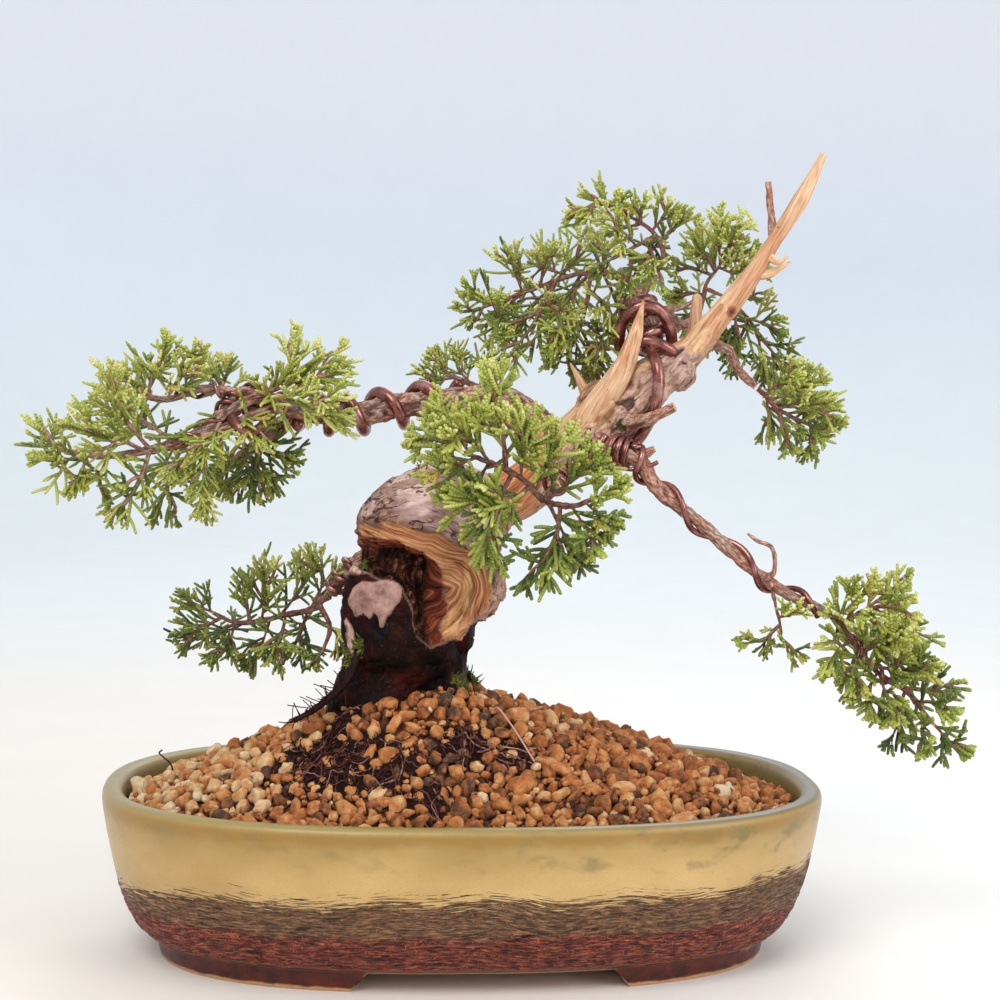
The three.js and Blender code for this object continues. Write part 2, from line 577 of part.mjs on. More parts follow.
function pot() {
  const body = solidOf(loft([...POT_OUTSIDE, ...POT_INSIDE].map(([inset, z]) => oval(inset, z))));
  const outer = solidOf(loft([oval(FOOT.outer, 0), oval(FOOT.outer - 1.2, FOOT.top)]));
  const inner = solidOf(loft([oval(FOOT.inner, -1), oval(FOOT.inner, FOOT.top + 1)]));
  const front = footGap(FOOT.gapLeft, FOOT.gapRight, POT.halfWidth);
  const back = footGap(FOOT.gapLeft, FOOT.gapRight, POT.halfWidth).rotateZ(Math.PI);
  const ends = footGap(-FOOT.endGap, FOOT.endGap, 2 * POT.halfLength).rotateZ(Math.PI / 2);
  ends.translate(-POT.halfLength, 0, 0);
  let feet = outer.subtract(inner);
  for (const space of [front, back, ends]) {
    feet = feet.subtract(solidOf(space));
  }
  let whole = body.add(feet);
  for (const x of [-DRAIN.x, DRAIN.x]) {
    whole = whole.subtract(drainHole(x, DRAIN.radius));
  }
  return tidied(whole);
}

function box(width, depth, height, x, y, z) {
  const geometry = new THREE.BoxGeometry(width, depth, height);
  geometry.translate(x, y, z);
  return solidOf(geometry);
}

// A square of plastic mesh over a drain hole.
function drainMesh(x) {
  const z = POT.floorTop + GAP + MESH.thickness / 2;
  const middle = (MESH.holes - 1) / 2;
  let sheet = box(MESH.size, MESH.size, MESH.thickness, x, 0, z);
  for (let row = 0; row < MESH.holes; row += 1) {
    for (let column = 0; column < MESH.holes; column += 1) {
      const holeX = x + (column - middle) * MESH.pitch;
      const holeY = (row - middle) * MESH.pitch;
      sheet = sheet.subtract(box(MESH.hole, MESH.hole, 2 * MESH.thickness, holeX, holeY, z));
    }
  }
  return tidied(sheet);
}

// ---------- soil ----------
// Height of the mound before its granules: a low rounded hill, level with the rim at the wall.
function moundHeight(x, y) {
  const away = Math.hypot((x - SOIL.centreX) / SOIL.reachX, y / SOIL.reachY);
  return SOIL.edgeHeight + SOIL.rise * Math.max(0, 1 - away ** SOIL.fall);
}

// A block whose top is a lattice of angular granules: each cell is a hexagon of dips round three peaks.
function granuleBlock() {
  const random = randomFrom(5);
  const jitter = () => (random() - 0.5) * GRANULE.jitter;
  const positions = [];
  const faces = [];
  const dips = new Map();
  const add = (x, y, z) => positions.push(x, y, z) / 3 - 1;
  const dipAt = (x, y) => {
    const key = `${Math.round(x * 4)},${Math.round(y * 4)}`;
    if (!dips.has(key)) {
      const px = x + jitter();
      const py = y + jitter();
      dips.set(key, add(px, py, moundHeight(px, py) - GRANULE.dip));
    }
    return dips.get(key);
  };
  const rowPitch = (GRANULE.pitch * Math.sqrt(3)) / 2;
  const columns = Math.ceil(POT.halfLength / GRANULE.pitch);
  const rows = Math.ceil(POT.halfWidth / rowPitch);
  for (let row = -rows; row <= rows; row += 1) {
    for (let column = -columns; column <= columns; column += 1) {
      const x = (column + (row & 1) / 2) * GRANULE.pitch;
      const y = row * rowPitch;
      const corners = Array.from({ length: 6 }, (_, k) => {
        const angle = ((2 * k + 1) * Math.PI) / 6;
        const reach = GRANULE.pitch / Math.sqrt(3);
        return dipAt(x + reach * Math.cos(angle), y + reach * Math.sin(angle));
      });
      const turn = Math.floor(random() * 2);
      const peaks = Array.from({ length: 3 }, (_, k) => {
        const angle = ((4 * k + 2 * turn + 2) * Math.PI) / 6;
        const reach = GRANULE.pitch * GRANULE.topReach * (0.75 + 0.4 * random());
        const px = x + reach * Math.cos(angle);
        const py = y + reach * Math.sin(angle);
        return add(px, py, moundHeight(px, py) + GRANULE.top * (0.45 + 0.55 * random()));
      });
      faces.push(...peaks);
      for (let k = 0; k < 3; k += 1) {
        const first = corners[(2 * k + turn) % 6];
        const second = corners[(2 * k + turn + 1) % 6];
        const third = corners[(2 * k + turn + 2) % 6];
        const peak = peaks[k];
        const next = peaks[(k + 1) % 3];
        faces.push(peak, first, second, peak, second, next, next, second, third);
      }
    }
  }
  return skirted(positions, faces, -20);
}

// Closes an open sheet with a skirt down to a flat underside.
function skirted(positions, faces, bottom) {
  const edges = new Set();
  for (let i = 0; i < faces.length; i += 3) {
    for (let k = 0; k < 3; k += 1) {
      edges.add(`${faces[i + k]},${faces[i + ((k + 1) % 3)]}`);
    }
  }
  const below = new Map();
  const under = (vertex) => {
    if (!below.has(vertex)) {
      const [x, y] = positions.slice(3 * vertex, 3 * vertex + 2);
      below.set(vertex, positions.push(x, y, bottom) / 3 - 1);
    }
    return below.get(vertex);
  };
  const middle = positions.push(0, 0, bottom) / 3 - 1;
  for (const edge of edges) {
    const [a, b] = edge.split(",").map(Number);
    if (!edges.has(`${b},${a}`)) {
      faces.push(b, a, under(a), b, under(a), under(b), under(a), middle, under(b));
    }
  }
  return solidOf(surface(positions, faces));
}

function soil() {
  const walls = [...POT_INSIDE].reverse().filter(([, z]) => z < 54);
  const rings = walls.map(([inset, z]) => oval(inset + GAP, z + GAP));
  rings.push(oval(walls.at(-1)[0] + GAP, 2 * POT.height));
  let mound = granuleBlock().intersect(solidOf(loft(rings)));
  mound = mound.subtract(trunkBase(GAP));
  const room = MESH.size + 2 * GAP;
  for (const x of [-DRAIN.x, DRAIN.x]) {
    mound = mound.subtract(box(room, room, 2 * (MESH.thickness + 2 * GAP), x, 0, POT.floorTop));
  }
  return tidied(mound);
}

// ---------- tree ----------
// Points whose ends and radii stand out by a little more.
function swollen(points, by) {
  const first = new THREE.Vector3(...points[0]);
  const last = new THREE.Vector3(...points.at(-1));
  const start = first.clone().sub(new THREE.Vector3(...points[1])).setLength(by).add(first);
  const end = last.clone().sub(new THREE.Vector3(...points.at(-2))).setLength(by).add(last);
  const middle = points.slice(1, -1).map(([x, y, z, radius]) => [x, y, z, radius + by]);
  return [[...start.toArray(), points[0][3] + by], ...middle, [...end.toArray(), points.at(-1)[3] + by]];
}

function lobed(station, angle) {
  const wide = 0.075 * Math.sin(3 * angle + 5 * station.share);
  const narrow = 0.04 * Math.sin(5 * angle - 7 * station.share);
  return station.radius * (1 + wide + narrow);
}

// The buried foot of the trunk with its surface roots.
function trunkBase(swell = 0) {
  const grown = (points) => (swell ? swollen(points, swell) : points);
  const trunk = limb(grown(TRUNK_LOW), 14, 1, lobed);
  return Manifold.union([trunk, ...ROOTS.map((points) => limb(grown(points), 6, 1))]);
}

function tree() {
  const parts = [trunkBase(), limb(TRUNK_HIGH, 10, 1, lobed)];
  parts.push(ellipsoid(CAP, 9, 14), ellipsoid(CROWN_LUMP, 6, 9));
  for (const points of JINS) parts.push(limb(points, 5, 1));
  for (const points of Object.values(LIMBS)) {
    parts.push(limb(points, points[0][3] > 2.5 ? 6 : 5, 1));
  }
  return tidied(Manifold.union(parts));
}

// ---------- wire ----------
function wound(points, { from, to, turns, phase }, wireRadius) {
  const stepsPerTurn = wireRadius > 1.5 ? 10 : 7;
  const count = Math.round(turns * stepsPerTurn);
  return stations(points, from, to, count).map((station, i) => {
    const angle = phase + (2 * Math.PI * turns * i) / count;
    const reach = station.radius + wireRadius + WIRE_CLEARANCE;
    const at = station.place
      .clone()
      .addScaledVector(station.side, reach * Math.cos(angle))
      .addScaledVector(station.across, reach * Math.sin(angle));
    return [...at.toArray(), wireRadius];
  });
}

function wire({ radius, stretches }) {
  const route = stretches.flatMap((stretch) => wound(LIMBS[stretch.limb], stretch, radius));
  return tidied(limb(route, 5, 1));
}

// ---------- foliage ----------
// Every limb, stem and twig that a finger of foliage has to pass clear of, as short straight pieces.
function segmentsOf(points, owner, extra = 0) {
  return points.slice(1).map((end, i) => ({
    owner,
    from: new THREE.Vector3(...points[i]),
    to: new THREE.Vector3(...end),
    radius: Math.max(points[i][3] ?? TWIG.root, end[3] ?? TWIG.root) + extra,
  }));
}

function gapBetween(a, b) {
  const first = b.from.clone();
  let nearest = Infinity;
  for (let i = 0; i <= 6; i += 1) {
    const onA = a.from.clone().lerp(a.to, i / 6);
    const along = b.to.clone().sub(b.from);
    const share = onA.clone().sub(first).dot(along) / along.lengthSq();
    const onB = first.clone().addScaledVector(along, THREE.MathUtils.clamp(share, 0, 1));
    nearest = Math.min(nearest, onA.distanceTo(onB));
  }
  return nearest - a.radius - b.radius;
}

const wiredLimbs = new Set(
  Object.values(WIRES).flatMap(({ stretches }) => stretches.map(({ limb: name }) => name)),
);
const obstacles = [
  ...segmentsOf(TRUNK_LOW, "tree"),
  ...segmentsOf(TRUNK_HIGH, "tree", 1),
  ...JINS.flatMap((points) => segmentsOf(points, "tree")),
  ...Object.entries(LIMBS).flatMap(([name, points]) =>
    segmentsOf(points, "tree", wiredLimbs.has(name) ? 2 * WIRE_THICK + 1 : 0),
  ),
  ...Object.entries(PADS).flatMap(([name, { stems, twigs }]) =>
    [...stems, ...twigs].flatMap((points) => segmentsOf(points, name)),
  ),
];

function isClear(finger) {
  return obstacles.every((other) => other.owner === finger.owner || gapBetween(finger, other) > 2 * GAP);
}

// One finger of scale leaves: leaves the twig forwards and outwards, and is turned on until it is clear.
function fingerFrom(station, index, random, owner) {
  const length = THREE.MathUtils.lerp(FINGER.shortest, FINGER.longest, random());
  for (let attempt = 0; attempt < 6; attempt += 1) {
    const angle = GOLDEN_ANGLE * (index + attempt) + random();
    const direction = station.along
      .clone()
      .multiplyScalar(0.75)
      .addScaledVector(station.side, 0.8 * Math.cos(angle))
      .addScaledVector(station.across, 0.8 * Math.sin(angle))
      .add(new THREE.Vector3(0, 0, 0.18))
      .normalize();
    const finger = {
      owner,
      from: station.place.clone(),
      to: station.place.clone().addScaledVector(direction, length),
      radius: FINGER.root,
    };
    if (isClear(finger)) return finger;
  }
  return null;
}

function foliage(name) {
  const { seed, stems, twigs } = PADS[name];
  const random = randomFrom(seed);
  const parts = stems.map((points) => limb(points, 4, 1));
  for (const twig of twigs) {
    const last = twig.length - 1;
    const core = twig.map(([x, y, z], i) => [x, y, z, THREE.MathUtils.lerp(TWIG.root, TWIG.tip, i / last)]);
    parts.push(limb(core, 3, 1));
    const length = new THREE.Vector3(...twig[0]).distanceTo(new THREE.Vector3(...twig[last]));
    const count = Math.max(2, Math.round(length / FINGER.spacing));
    stations(core, 0.36, 0.93, count - 1).forEach((station, i) => {
      const finger = fingerFrom(station, i, random, name);
      if (!finger) return;
      obstacles.push(finger);
      const ends = [[...finger.from.toArray(), FINGER.root], [...finger.to.toArray(), FINGER.tip]];
      parts.push(limb(ends, 3, 1));
    });
  }
  return tidied(Manifold.union(parts));
}

// ---------- assembly ----------
const bonsai = new THREE.Group();

function place(name, solid, material) {
  const mesh = new THREE.Mesh(geometryOf(solid), material);
  mesh.name = name;
  bonsai.add(mesh);
}

place("pot", pot(), MATERIALS.glaze);
place("drain_mesh_left", drainMesh(-DRAIN.x), MATERIALS.plasticMesh);
place("drain_mesh_right", drainMesh(DRAIN.x), MATERIALS.plasticMesh);
place("soil", soil(), MATERIALS.soil);
place("tree", tree(), MATERIALS.wood);
for (const [name, spec] of Object.entries(WIRES)) {
  place(name, wire(spec), MATERIALS.copperWire);
}
for (const name of Object.keys(PADS)) {
  place(name, foliage(name), MATERIALS.foliage);
}

// The origin goes to the middle of the whole part's footprint, at the floor.
const extent = new THREE.Box3().setFromObject(bonsai);
const middle = extent.getCenter(new THREE.Vector3());
bonsai.position.set(-middle.x, -middle.y, -extent.min.z);

export default bonsai;
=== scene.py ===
"""Looks of a juniper bonsai in an oval stoneware pot, built round the frame of its CAD model.

Lengths in this file are millimetres in the pot's own frame: its centre at the origin, the floor at
z = 0, +X along its long axis, the viewer at -Y. They become metres when a mesh is made.
"""

import itertools
import math

import bmesh
import bpy
import numpy as np
from mathutils import Matrix, Vector


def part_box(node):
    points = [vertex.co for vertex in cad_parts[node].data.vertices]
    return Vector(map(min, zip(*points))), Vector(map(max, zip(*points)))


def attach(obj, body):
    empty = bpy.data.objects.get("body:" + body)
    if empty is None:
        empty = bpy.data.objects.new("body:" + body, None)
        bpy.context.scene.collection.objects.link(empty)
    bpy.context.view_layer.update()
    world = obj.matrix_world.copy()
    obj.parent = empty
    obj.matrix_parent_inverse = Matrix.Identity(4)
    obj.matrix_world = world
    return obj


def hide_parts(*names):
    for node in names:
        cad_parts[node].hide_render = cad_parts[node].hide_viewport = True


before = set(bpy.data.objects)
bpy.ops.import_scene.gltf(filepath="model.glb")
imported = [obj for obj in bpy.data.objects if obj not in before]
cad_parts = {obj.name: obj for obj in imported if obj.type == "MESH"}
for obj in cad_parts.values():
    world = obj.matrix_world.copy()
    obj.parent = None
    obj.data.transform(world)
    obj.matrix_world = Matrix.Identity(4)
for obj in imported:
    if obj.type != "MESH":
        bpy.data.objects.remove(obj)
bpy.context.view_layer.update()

POT_LOW, POT_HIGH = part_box("pot")
# From the pot's own frame to the row's frame.
OFFSET = np.array([500 * (POT_LOW[0] + POT_HIGH[0]), 500 * (POT_LOW[1] + POT_HIGH[1]), 0.0])
METRES = 0.001
# The most faces that one piece of granules has.
MOST_FACES = 190000

# ---------- the same driving dimensions as the solids ----------
HALF_LENGTH = 120
HALF_WIDTH = 76
ROUNDNESS = 2.45
POT_OUTSIDE = [
    (18.4, 6.2), (14.8, 8.2), (10.4, 13), (6.7, 21), (3.7, 31.5), (1.2, 44), (0.05, 53), (0.5, 55),
]
POT_RIM = [(1.5, 55.8), (3, 56), (4.8, 55.85), (6.2, 55)]
POT_INSIDE = [(7, 53.4), (8.4, 40), (12.4, 21), (20, 14)]
POT_UNDERSIDE = [(60, 6.2), (45, 6.2), (30, 6.2)]
POT_FLOOR = [(34, 13.8), (52, 13.6), (66, 13.5)]
FOOT_OUTER = 18.9
FOOT_INNER = 31
FOOT_TOP = 8.6
FOOT_SLANT = 6.2
FOOT_HEIGHT = 7.5
GAP_LEFT = -38.5
GAP_RIGHT = 50
GAP_END = 15
DRAIN_X = 46
DRAIN_RADIUS = 8.5

SOIL_EDGE = 49.5
SOIL_RISE = 33.5
SOIL_CENTRE_X = -4
SOIL_REACH = (110, 68)
SOIL_FALL = 1.6

GOLDEN_ANGLE = math.pi * (3 - math.sqrt(5))
UP = np.array([0.0, 0.0, 1.0])

TRUNK_LOW = [
    (-20, 2, 60, 17), (-21, 2, 72, 23), (-22, 2, 82, 24.5), (-21.5, 1, 92, 21), (-21, -1, 103, 19.5),
    (-21.5, -4, 116, 20.5), (-18, -3, 126, 18), (-12, -1, 136, 17), (-6, 1, 143, 14), (0, 3, 147, 10),
]
TRUNK_HIGH = [
    (-10, 0, 138, 13), (-2, 3, 145, 12.5), (7, 6, 148, 10.5), (17, 8, 151.5, 9), (27, 8, 159, 8.8),
    (35, 7, 167.5, 9.2), (43, 6, 175, 9), (52, 5, 182, 8.4), (60, 4, 188.5, 8), (69, 4, 196, 7.2),
    (75, 4, 201, 6), (82, 3, 210, 4.7), (91, 2, 221.5, 3.8), (97, 1, 230, 3.4), (102, 0, 238.5, 3),
    (110, -2, 252, 2.1), (117, -4, 267, 0.45),
]
ROOTS = [
    [(-36, -6, 88, 7), (-43, -10, 79, 4.5), (-48, -13, 68, 2.5)],
    [(-8, -8, 88, 7), (0, -14, 79, 4.5), (6, -19, 68, 2.5)],
    [(-27, 16, 88, 7), (-31, 25, 79, 4.5), (-34, 31, 68, 2.5)],
    [(-3, 9, 86, 6), (6, 14, 78, 4), (12, 18, 68, 2.4)],
]
JINS = {
    "ridge": [
        (36, 1, 171, 5.5), (43.5, -1, 183, 4.7), (50.5, -2, 193.5, 3.9), (55, -2, 206, 2.4),
        (57.5, -3, 217.5, 0.4),
    ],
    "small": [(43, 8, 178, 2.8), (40, 10, 187, 1.9), (35, 12, 196.5, 0.4)],
    "stub": [(75, 8, 200, 3.4), (77.5, 12, 208, 2.4), (78.6, 14, 220.5, 1.6)],
    "cut": [(51, -2, 175.6, 2.9), (59, -11.5, 178.6, 2.1), (67, -14, 182.6, 1.7)],
    "twig": [(102, 0, 239, 1.9), (101, 1, 245, 1.35), (99.7, 2, 258, 1.05)],
    "side": [(96, 1, 227, 1.9), (101, 2, 227.5, 1.6), (108.5, 4, 231.5, 0.4)],
    "spur": [(100, 0, 233, 1.6), (103, -2, 231, 1.1), (106, -3, 233, 0.4)],
    "back": [(67, 12, 214.5, 1.4), (74, 14, 216, 1.1), (79, 16, 219, 0.5)],
}
LIMBS = {
    "left": [
        (31, 10, 168, 6), (22, 14, 178, 5), (10, 16, 184, 4.4), (-8, 13, 182.5, 4.2), (-24.5, 8, 180.5, 4),
        (-39.5, 4, 178, 3.6), (-50.5, 1, 178.5, 3.3), (-61, 0, 181, 3.1),
    ],
    "right": [
        (42, 0, 171, 4.5), (48.5, -9, 168, 3.4), (55, -12, 165.5, 3), (61, -14, 156.5, 2.5),
        (76, -15, 144.5, 2.2), (93, -16, 129.6, 2), (106.5, -17, 120.8, 1.8), (120, -18, 114.5, 1.6),
    ],
    "low": [
        (-26, 2, 134, 4), (-33, 8, 130.5, 3), (-37, 11, 127.5, 2.6), (-42, 14, 121, 2.2),
        (-45, 16.5, 116.7, 2),
    ],
    "apex": [
        (58, 5, 186, 5), (63.5, 7, 194.5, 3.8), (64, 9, 201, 3.5), (61.5, 12, 208, 3.3),
        (58.5, 14, 215, 3), (58, 16, 220.5, 2.8),
    ],
    "apex_left": [(58.4, 16, 219, 2.4), (56, 18, 224.5, 2.2), (51.5, 20, 226.8, 2)],
    "apex_up": [(58, 16, 219.5, 2.2), (62.5, 16, 224.3, 2), (64.6, 16, 226.8, 1.8)],
    "apex_right": [
        (61.2, 12.5, 209.5, 2.2), (69.5, 20, 213, 1.9), (75, 25, 210, 1.8), (80.2, 27.8, 211.2, 1.7),
    ],
    "right_back": [
        (75, 6, 203, 3.2), (82, 14, 204.5, 1.9), (88, 18, 202.5, 1.7), (91.5, 20, 201, 1.6),
        (94, 20, 195.5, 1.5), (97.5, 19, 191.5, 1.5), (100.6, 18.2, 189, 1.4),
    ],
    "front": [(31, 4, 162, 4), (29, -7, 158, 2.6), (27.6, -14, 156, 2.3)],
    "behind": [(23, 13, 177.5, 3.4), (16.5, 21, 183, 1.7), (11, 24, 185.3, 1.4)],
    "tuft": [(95, -16, 127.8, 1.8), (99, -17.4, 126.5, 1.1), (100, -18, 123.4, 1)],
    "dead_twig": [
        (97, -16.5, 126.5, 1.5), (100, -20, 128.5, 0.9), (99, -21, 137, 0.8), (94.5, -20, 139, 0.7),
        (91, -20, 141.5, 0.45),
    ],
}
WIRE_THICK = 2
WIRE_THIN = 1.05
WIRE_CLEARANCE = 0.1
STEM_WIRE = 0.75

# ---------- numbers ----------
LOW_BITS = np.uint64(0xFFFFFFFF)


def lattice(cells, seed):
    """A repeatable number from -1 to 1 for each whole-number cell."""
    x, y, z = (cells[..., k].astype(np.int64).astype(np.uint64) for k in range(3))
    mixed = x * np.uint64(374761393) + y * np.uint64(668265263) + z * np.uint64(2246822519)
    mixed = (mixed + np.uint64(seed * 3266489917 % 2**32)) & LOW_BITS
    mixed = ((mixed ^ (mixed >> np.uint64(15))) * np.uint64(2246822519)) & LOW_BITS
    mixed = ((mixed ^ (mixed >> np.uint64(13))) * np.uint64(3266489917)) & LOW_BITS
    mixed ^= mixed >> np.uint64(16)
    return mixed / 2147483647.5 - 1


def noise(points, seed=0):
    """Smooth noise from -1 to 1, one bump to a unit."""
    base = np.floor(points)
    part = points - base
    ease = part * part * (3 - 2 * part)
    total = 0
    for corner in itertools.product((0, 1), repeat=3):
        weight = np.prod(np.where(corner, ease, 1 - ease), axis=-1)
        total = total + weight * lattice(base + corner, seed)
    return total


def fbm(points, octaves, seed=0):
    """Noise with finer and finer bumps added, each half as strong."""
    total = 0
    strength = 0.5
    for k in range(octaves):
        total = total + strength * noise(points * 2.03**k + 11.7 * k, seed + k)
        strength /= 2
    return total


def smoothstep(low, high, value):
    """A soft step from 0 at low to 1 at high."""
    share = np.clip((value - low) / (high - low), 0, 1)
    return share * share * (3 - 2 * share)


def unit(vectors):
    return vectors / np.maximum(np.linalg.norm(vectors, axis=-1, keepdims=True), 1e-9)


def lerp(a, b, share):
    return a + (b - a) * share


# ---------- curves ----------
def on_curve(points, shares):
    """Places, directions and radii on the centripetal curve that the solids follow."""
    points = np.asarray(points, float)
    places = points[:, :3]
    padded = np.vstack([2 * places[0] - places[1], places, 2 * places[-1] - places[-2]])
    spans = len(points) - 1
    shares = np.asarray(shares, float)
    span = np.minimum((shares * spans).astype(int), spans - 1)
    part = (shares * spans - span)[:, None]
    a, b, c, d = (padded[span + k] for k in range(4))

    def gap(p, q):
        return np.maximum(np.linalg.norm(q - p, axis=1) ** 0.5, 1e-4)[:, None]

    before, here, after = gap(a, b), gap(b, c), gap(c, d)
    leave = ((b - a) / before - (c - a) / (before + here) + (c - b) / here) * here
    arrive = ((c - b) / here - (d - b) / (here + after) + (d - c) / after) * here
    square = -3 * b + 3 * c - 2 * leave - arrive
    cube = 2 * b - 2 * c + leave + arrive
    place = b + leave * part + square * part**2 + cube * part**3
    along = unit(leave + 2 * square * part + 3 * cube * part**2)
    radius = None
    if points.shape[1] > 3:
        radius = lerp(points[span, 3], points[span + 1, 3], part[:, 0])
    return place, along, radius


def frames(along):
    """Sideways directions carried along paths without twist; along is (paths, points, 3)."""
    steep = np.abs(along[:, 0, 2:]) > 0.8
    side = np.where(steep, [1.0, 0.0, 0.0], [0.0, 0.0, 1.0])
    sides = np.empty_like(along)
    for i in range(along.shape[1]):
        here = along[:, i]
        side = unit(side - here * np.sum(side * here, axis=-1, keepdims=True))
        sides[:, i] = side
    return sides, np.cross(along, sides)


def reach_along(places):
    """Distance along a row of places, from its first."""
    return np.concatenate([[0], np.cumsum(np.linalg.norm(np.diff(places, axis=0), axis=1))])


def stations(points, start=0.0, end=1.0, count=None, step=1.0):
    """Evenly shared places along a curve, with their directions and radii."""
    if count is None:
        reach = reach_along(np.asarray(points, float)[:, :3])[-1]
        count = max(3, round(reach * (end - start) / step))
    shares = np.linspace(start, end, count + 1)
    place, along, radius = on_curve(points, shares)
    sides, across = frames(along[None])
    found = {"share": shares, "place": place, "along": along, "radius": radius}
    return found | {"side": sides[0], "across": across[0]}


# ---------- meshes ----------
class Shell:
    """A growing mesh: points, faces of four and three corners, and named values at its points."""

    def __init__(self):
        self.points, self.quads, self.triangles, self.values = [], [], [], {}
        self.count = 0

    def add(self, points, quads, triangles, **values):
        self.points.append(points)
        self.quads.append(np.asarray(quads, int).reshape(-1, 4) + self.count)
        self.triangles.append(np.asarray(triangles, int).reshape(-1, 3) + self.count)
        for name, value in values.items():
            shape = (len(points), *np.shape(value)[1:])
            self.values.setdefault(name, []).append(np.broadcast_to(value, shape))
        self.count += len(points)

    def mesh(self, name):
        values = {key: np.concatenate(parts) for key, parts in self.values.items()}
        points, quads, triangles = (np.vstack(rows) for rows in (self.points, self.quads, self.triangles))
        return mesh_from(name, points, quads, triangles, values)


def mesh_from(name, points, quads, triangles, values=None):
    """A mesh of quads and triangles, with values at its points."""
    mesh = bpy.data.meshes.new(name)
    mesh.vertices.add(len(points))
    corners = np.concatenate([quads.ravel(), triangles.ravel()]).astype(np.int32)
    mesh.loops.add(len(corners))
    mesh.loops.foreach_set("vertex_index", corners)
    starts = np.concatenate([4 * np.arange(len(quads)), 4 * len(quads) + 3 * np.arange(len(triangles))])
    mesh.polygons.add(len(starts))
    mesh.polygons.foreach_set("loop_start", starts.astype(np.int32))
    put_points(mesh, points)
    mesh.update(calc_edges=True)
    mesh.validate()
    mesh.shade_smooth()
    set_values(mesh, values or {})
    return mesh


def set_values(mesh, values):
    """Named values or vectors at a mesh's points."""
    for name, value in values.items():
        kind, field = ("FLOAT_VECTOR", "vector") if np.ndim(value) > 1 else ("FLOAT", "value")
        layer = mesh.attributes.new(name, kind, "POINT")
        layer.data.foreach_set(field, np.ascontiguousarray(value, dtype=np.float32).ravel())


def linked(name, data):
    """A new object in the scene."""
    made = bpy.data.objects.new(name, data)
    bpy.context.scene.collection.objects.link(made)
    return made


def piece(name, mesh, finish, nodes=()):
    """A finished piece of the object, riding on its one body."""
    made = linked(name, mesh)
    mesh.materials.clear()
    mesh.materials.append(finish)
    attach(made, "root")
    if nodes:
        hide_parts(*nodes)


def read_vectors(rows, field):
    """One vector field of a mesh's points, as an array."""
    values = np.empty(3 * len(rows), np.float32)
    rows.foreach_get(field, values)
    return values.reshape(-1, 3).astype(float)


def points_of(mesh):
    """A mesh's points in millimetres, in the pot's own frame."""
    return read_vectors(mesh.vertices, "co") / METRES - OFFSET


def normals_of(mesh):
    return read_vectors(mesh.vertices, "normal")


def put_points(mesh, points):
    """Moves a mesh's points to places in millimetres, in the pot's own frame."""
    mesh.vertices.foreach_set("co", ((points + OFFSET) * METRES).astype(np.float32).ravel())
    mesh.update()


def with_modifiers(name, mesh, *settings):
    """The mesh after a row of (type, {setting: value}) modifiers."""
    carrier = linked(name, mesh)
    for kind, values in settings:
        modifier = carrier.modifiers.new(kind, kind)
        for key, value in values.items():
            setattr(modifier, key, value)
    graph = bpy.context.evaluated_depsgraph_get()
    made = bpy.data.meshes.new_from_object(carrier.evaluated_get(graph))
    bpy.data.objects.remove(carrier)
    made.shade_smooth()
    return made


def ring_faces(rows, around):
    """Quads between rings of points, and fans to two more points: below the first ring, above the last."""
    i, j = np.meshgrid(np.arange(rows - 1), np.arange(around), indexing="ij")
    a = (i * around + j).ravel()
    b = (i * around + (j + 1) % around).ravel()
    quads = np.stack([a, b, b + around, a + around], axis=1)
    k = np.arange(around)
    turned = (k + 1) % around
    last = (rows - 1) * around
    size = rows * around
    low = np.stack([np.full(around, size), turned, k], axis=1)
    high = np.stack([np.full(around, size + 1), last + k, last + turned], axis=1)
    return quads, np.concatenate([low, high])


def closed_rings(rings, low, high):
    """A closed surface through rings (rows, around, 3) that ends in two points."""
    return np.vstack([rings.reshape(-1, 3), low, high]), *ring_faces(*rings.shape[:2])


def tubes(paths, radii, sides):
    """Closed tubes along many paths of equal count: paths (n, m, 3), radii (n, m) or (n, m, sides)."""
    count, rows = paths.shape[:2]
    side, across = frames(unit(np.gradient(paths, axis=1)))
    angles = 2 * np.pi * np.arange(sides) / sides
    if radii.ndim == 2:
        radii = np.repeat(radii[:, :, None], sides, axis=2)
    rings = (
        paths[:, :, None]
        + side[:, :, None] * (radii * np.cos(angles))[..., None]
        + across[:, :, None] * (radii * np.sin(angles))[..., None]
    )
    points = np.concatenate([rings.reshape(count, rows * sides, 3), paths[:, :1], paths[:, -1:]], axis=1)
    quads, triangles = ring_faces(rows, sides)
    starts = (np.arange(count) * (rows * sides + 2))[:, None, None]
    return points.reshape(-1, 3), (quads + starts).reshape(-1, 4), (triangles + starts).reshape(-1, 3)


def arcs(starts, directions, lengths, bends, shares):
    """Paths that leave in a direction and bend by a share of their length; (n, shares, 3)."""
    share = shares[None, :, None]
    lengths = lengths[:, None, None]
    return starts[:, None] + lengths * (directions[:, None] * share + bends[:, None] * share**2)


def spread(values, rows, sides):
    """Values given per path (n,) or per path and row (n, m), repeated for each point of its tube."""
    values = np.asarray(values, float)
    if values.ndim == 1:
        values = np.repeat(values[:, None], rows, axis=1)
    rings = np.repeat(values, sides, axis=1)
    return np.concatenate([rings, values[:, :1], values[:, -1:]], axis=1).ravel()


# ---------- materials ----------
def srgb(red, green, blue):
    """A colour given as screen values from 0 to 255."""
    values = []
    for channel in (red, green, blue):
        c = channel / 255
        values.append(c / 12.92 if c < 0.04045 else ((c + 0.055) / 1.055) ** 2.4)
    return (*values, 1.0)


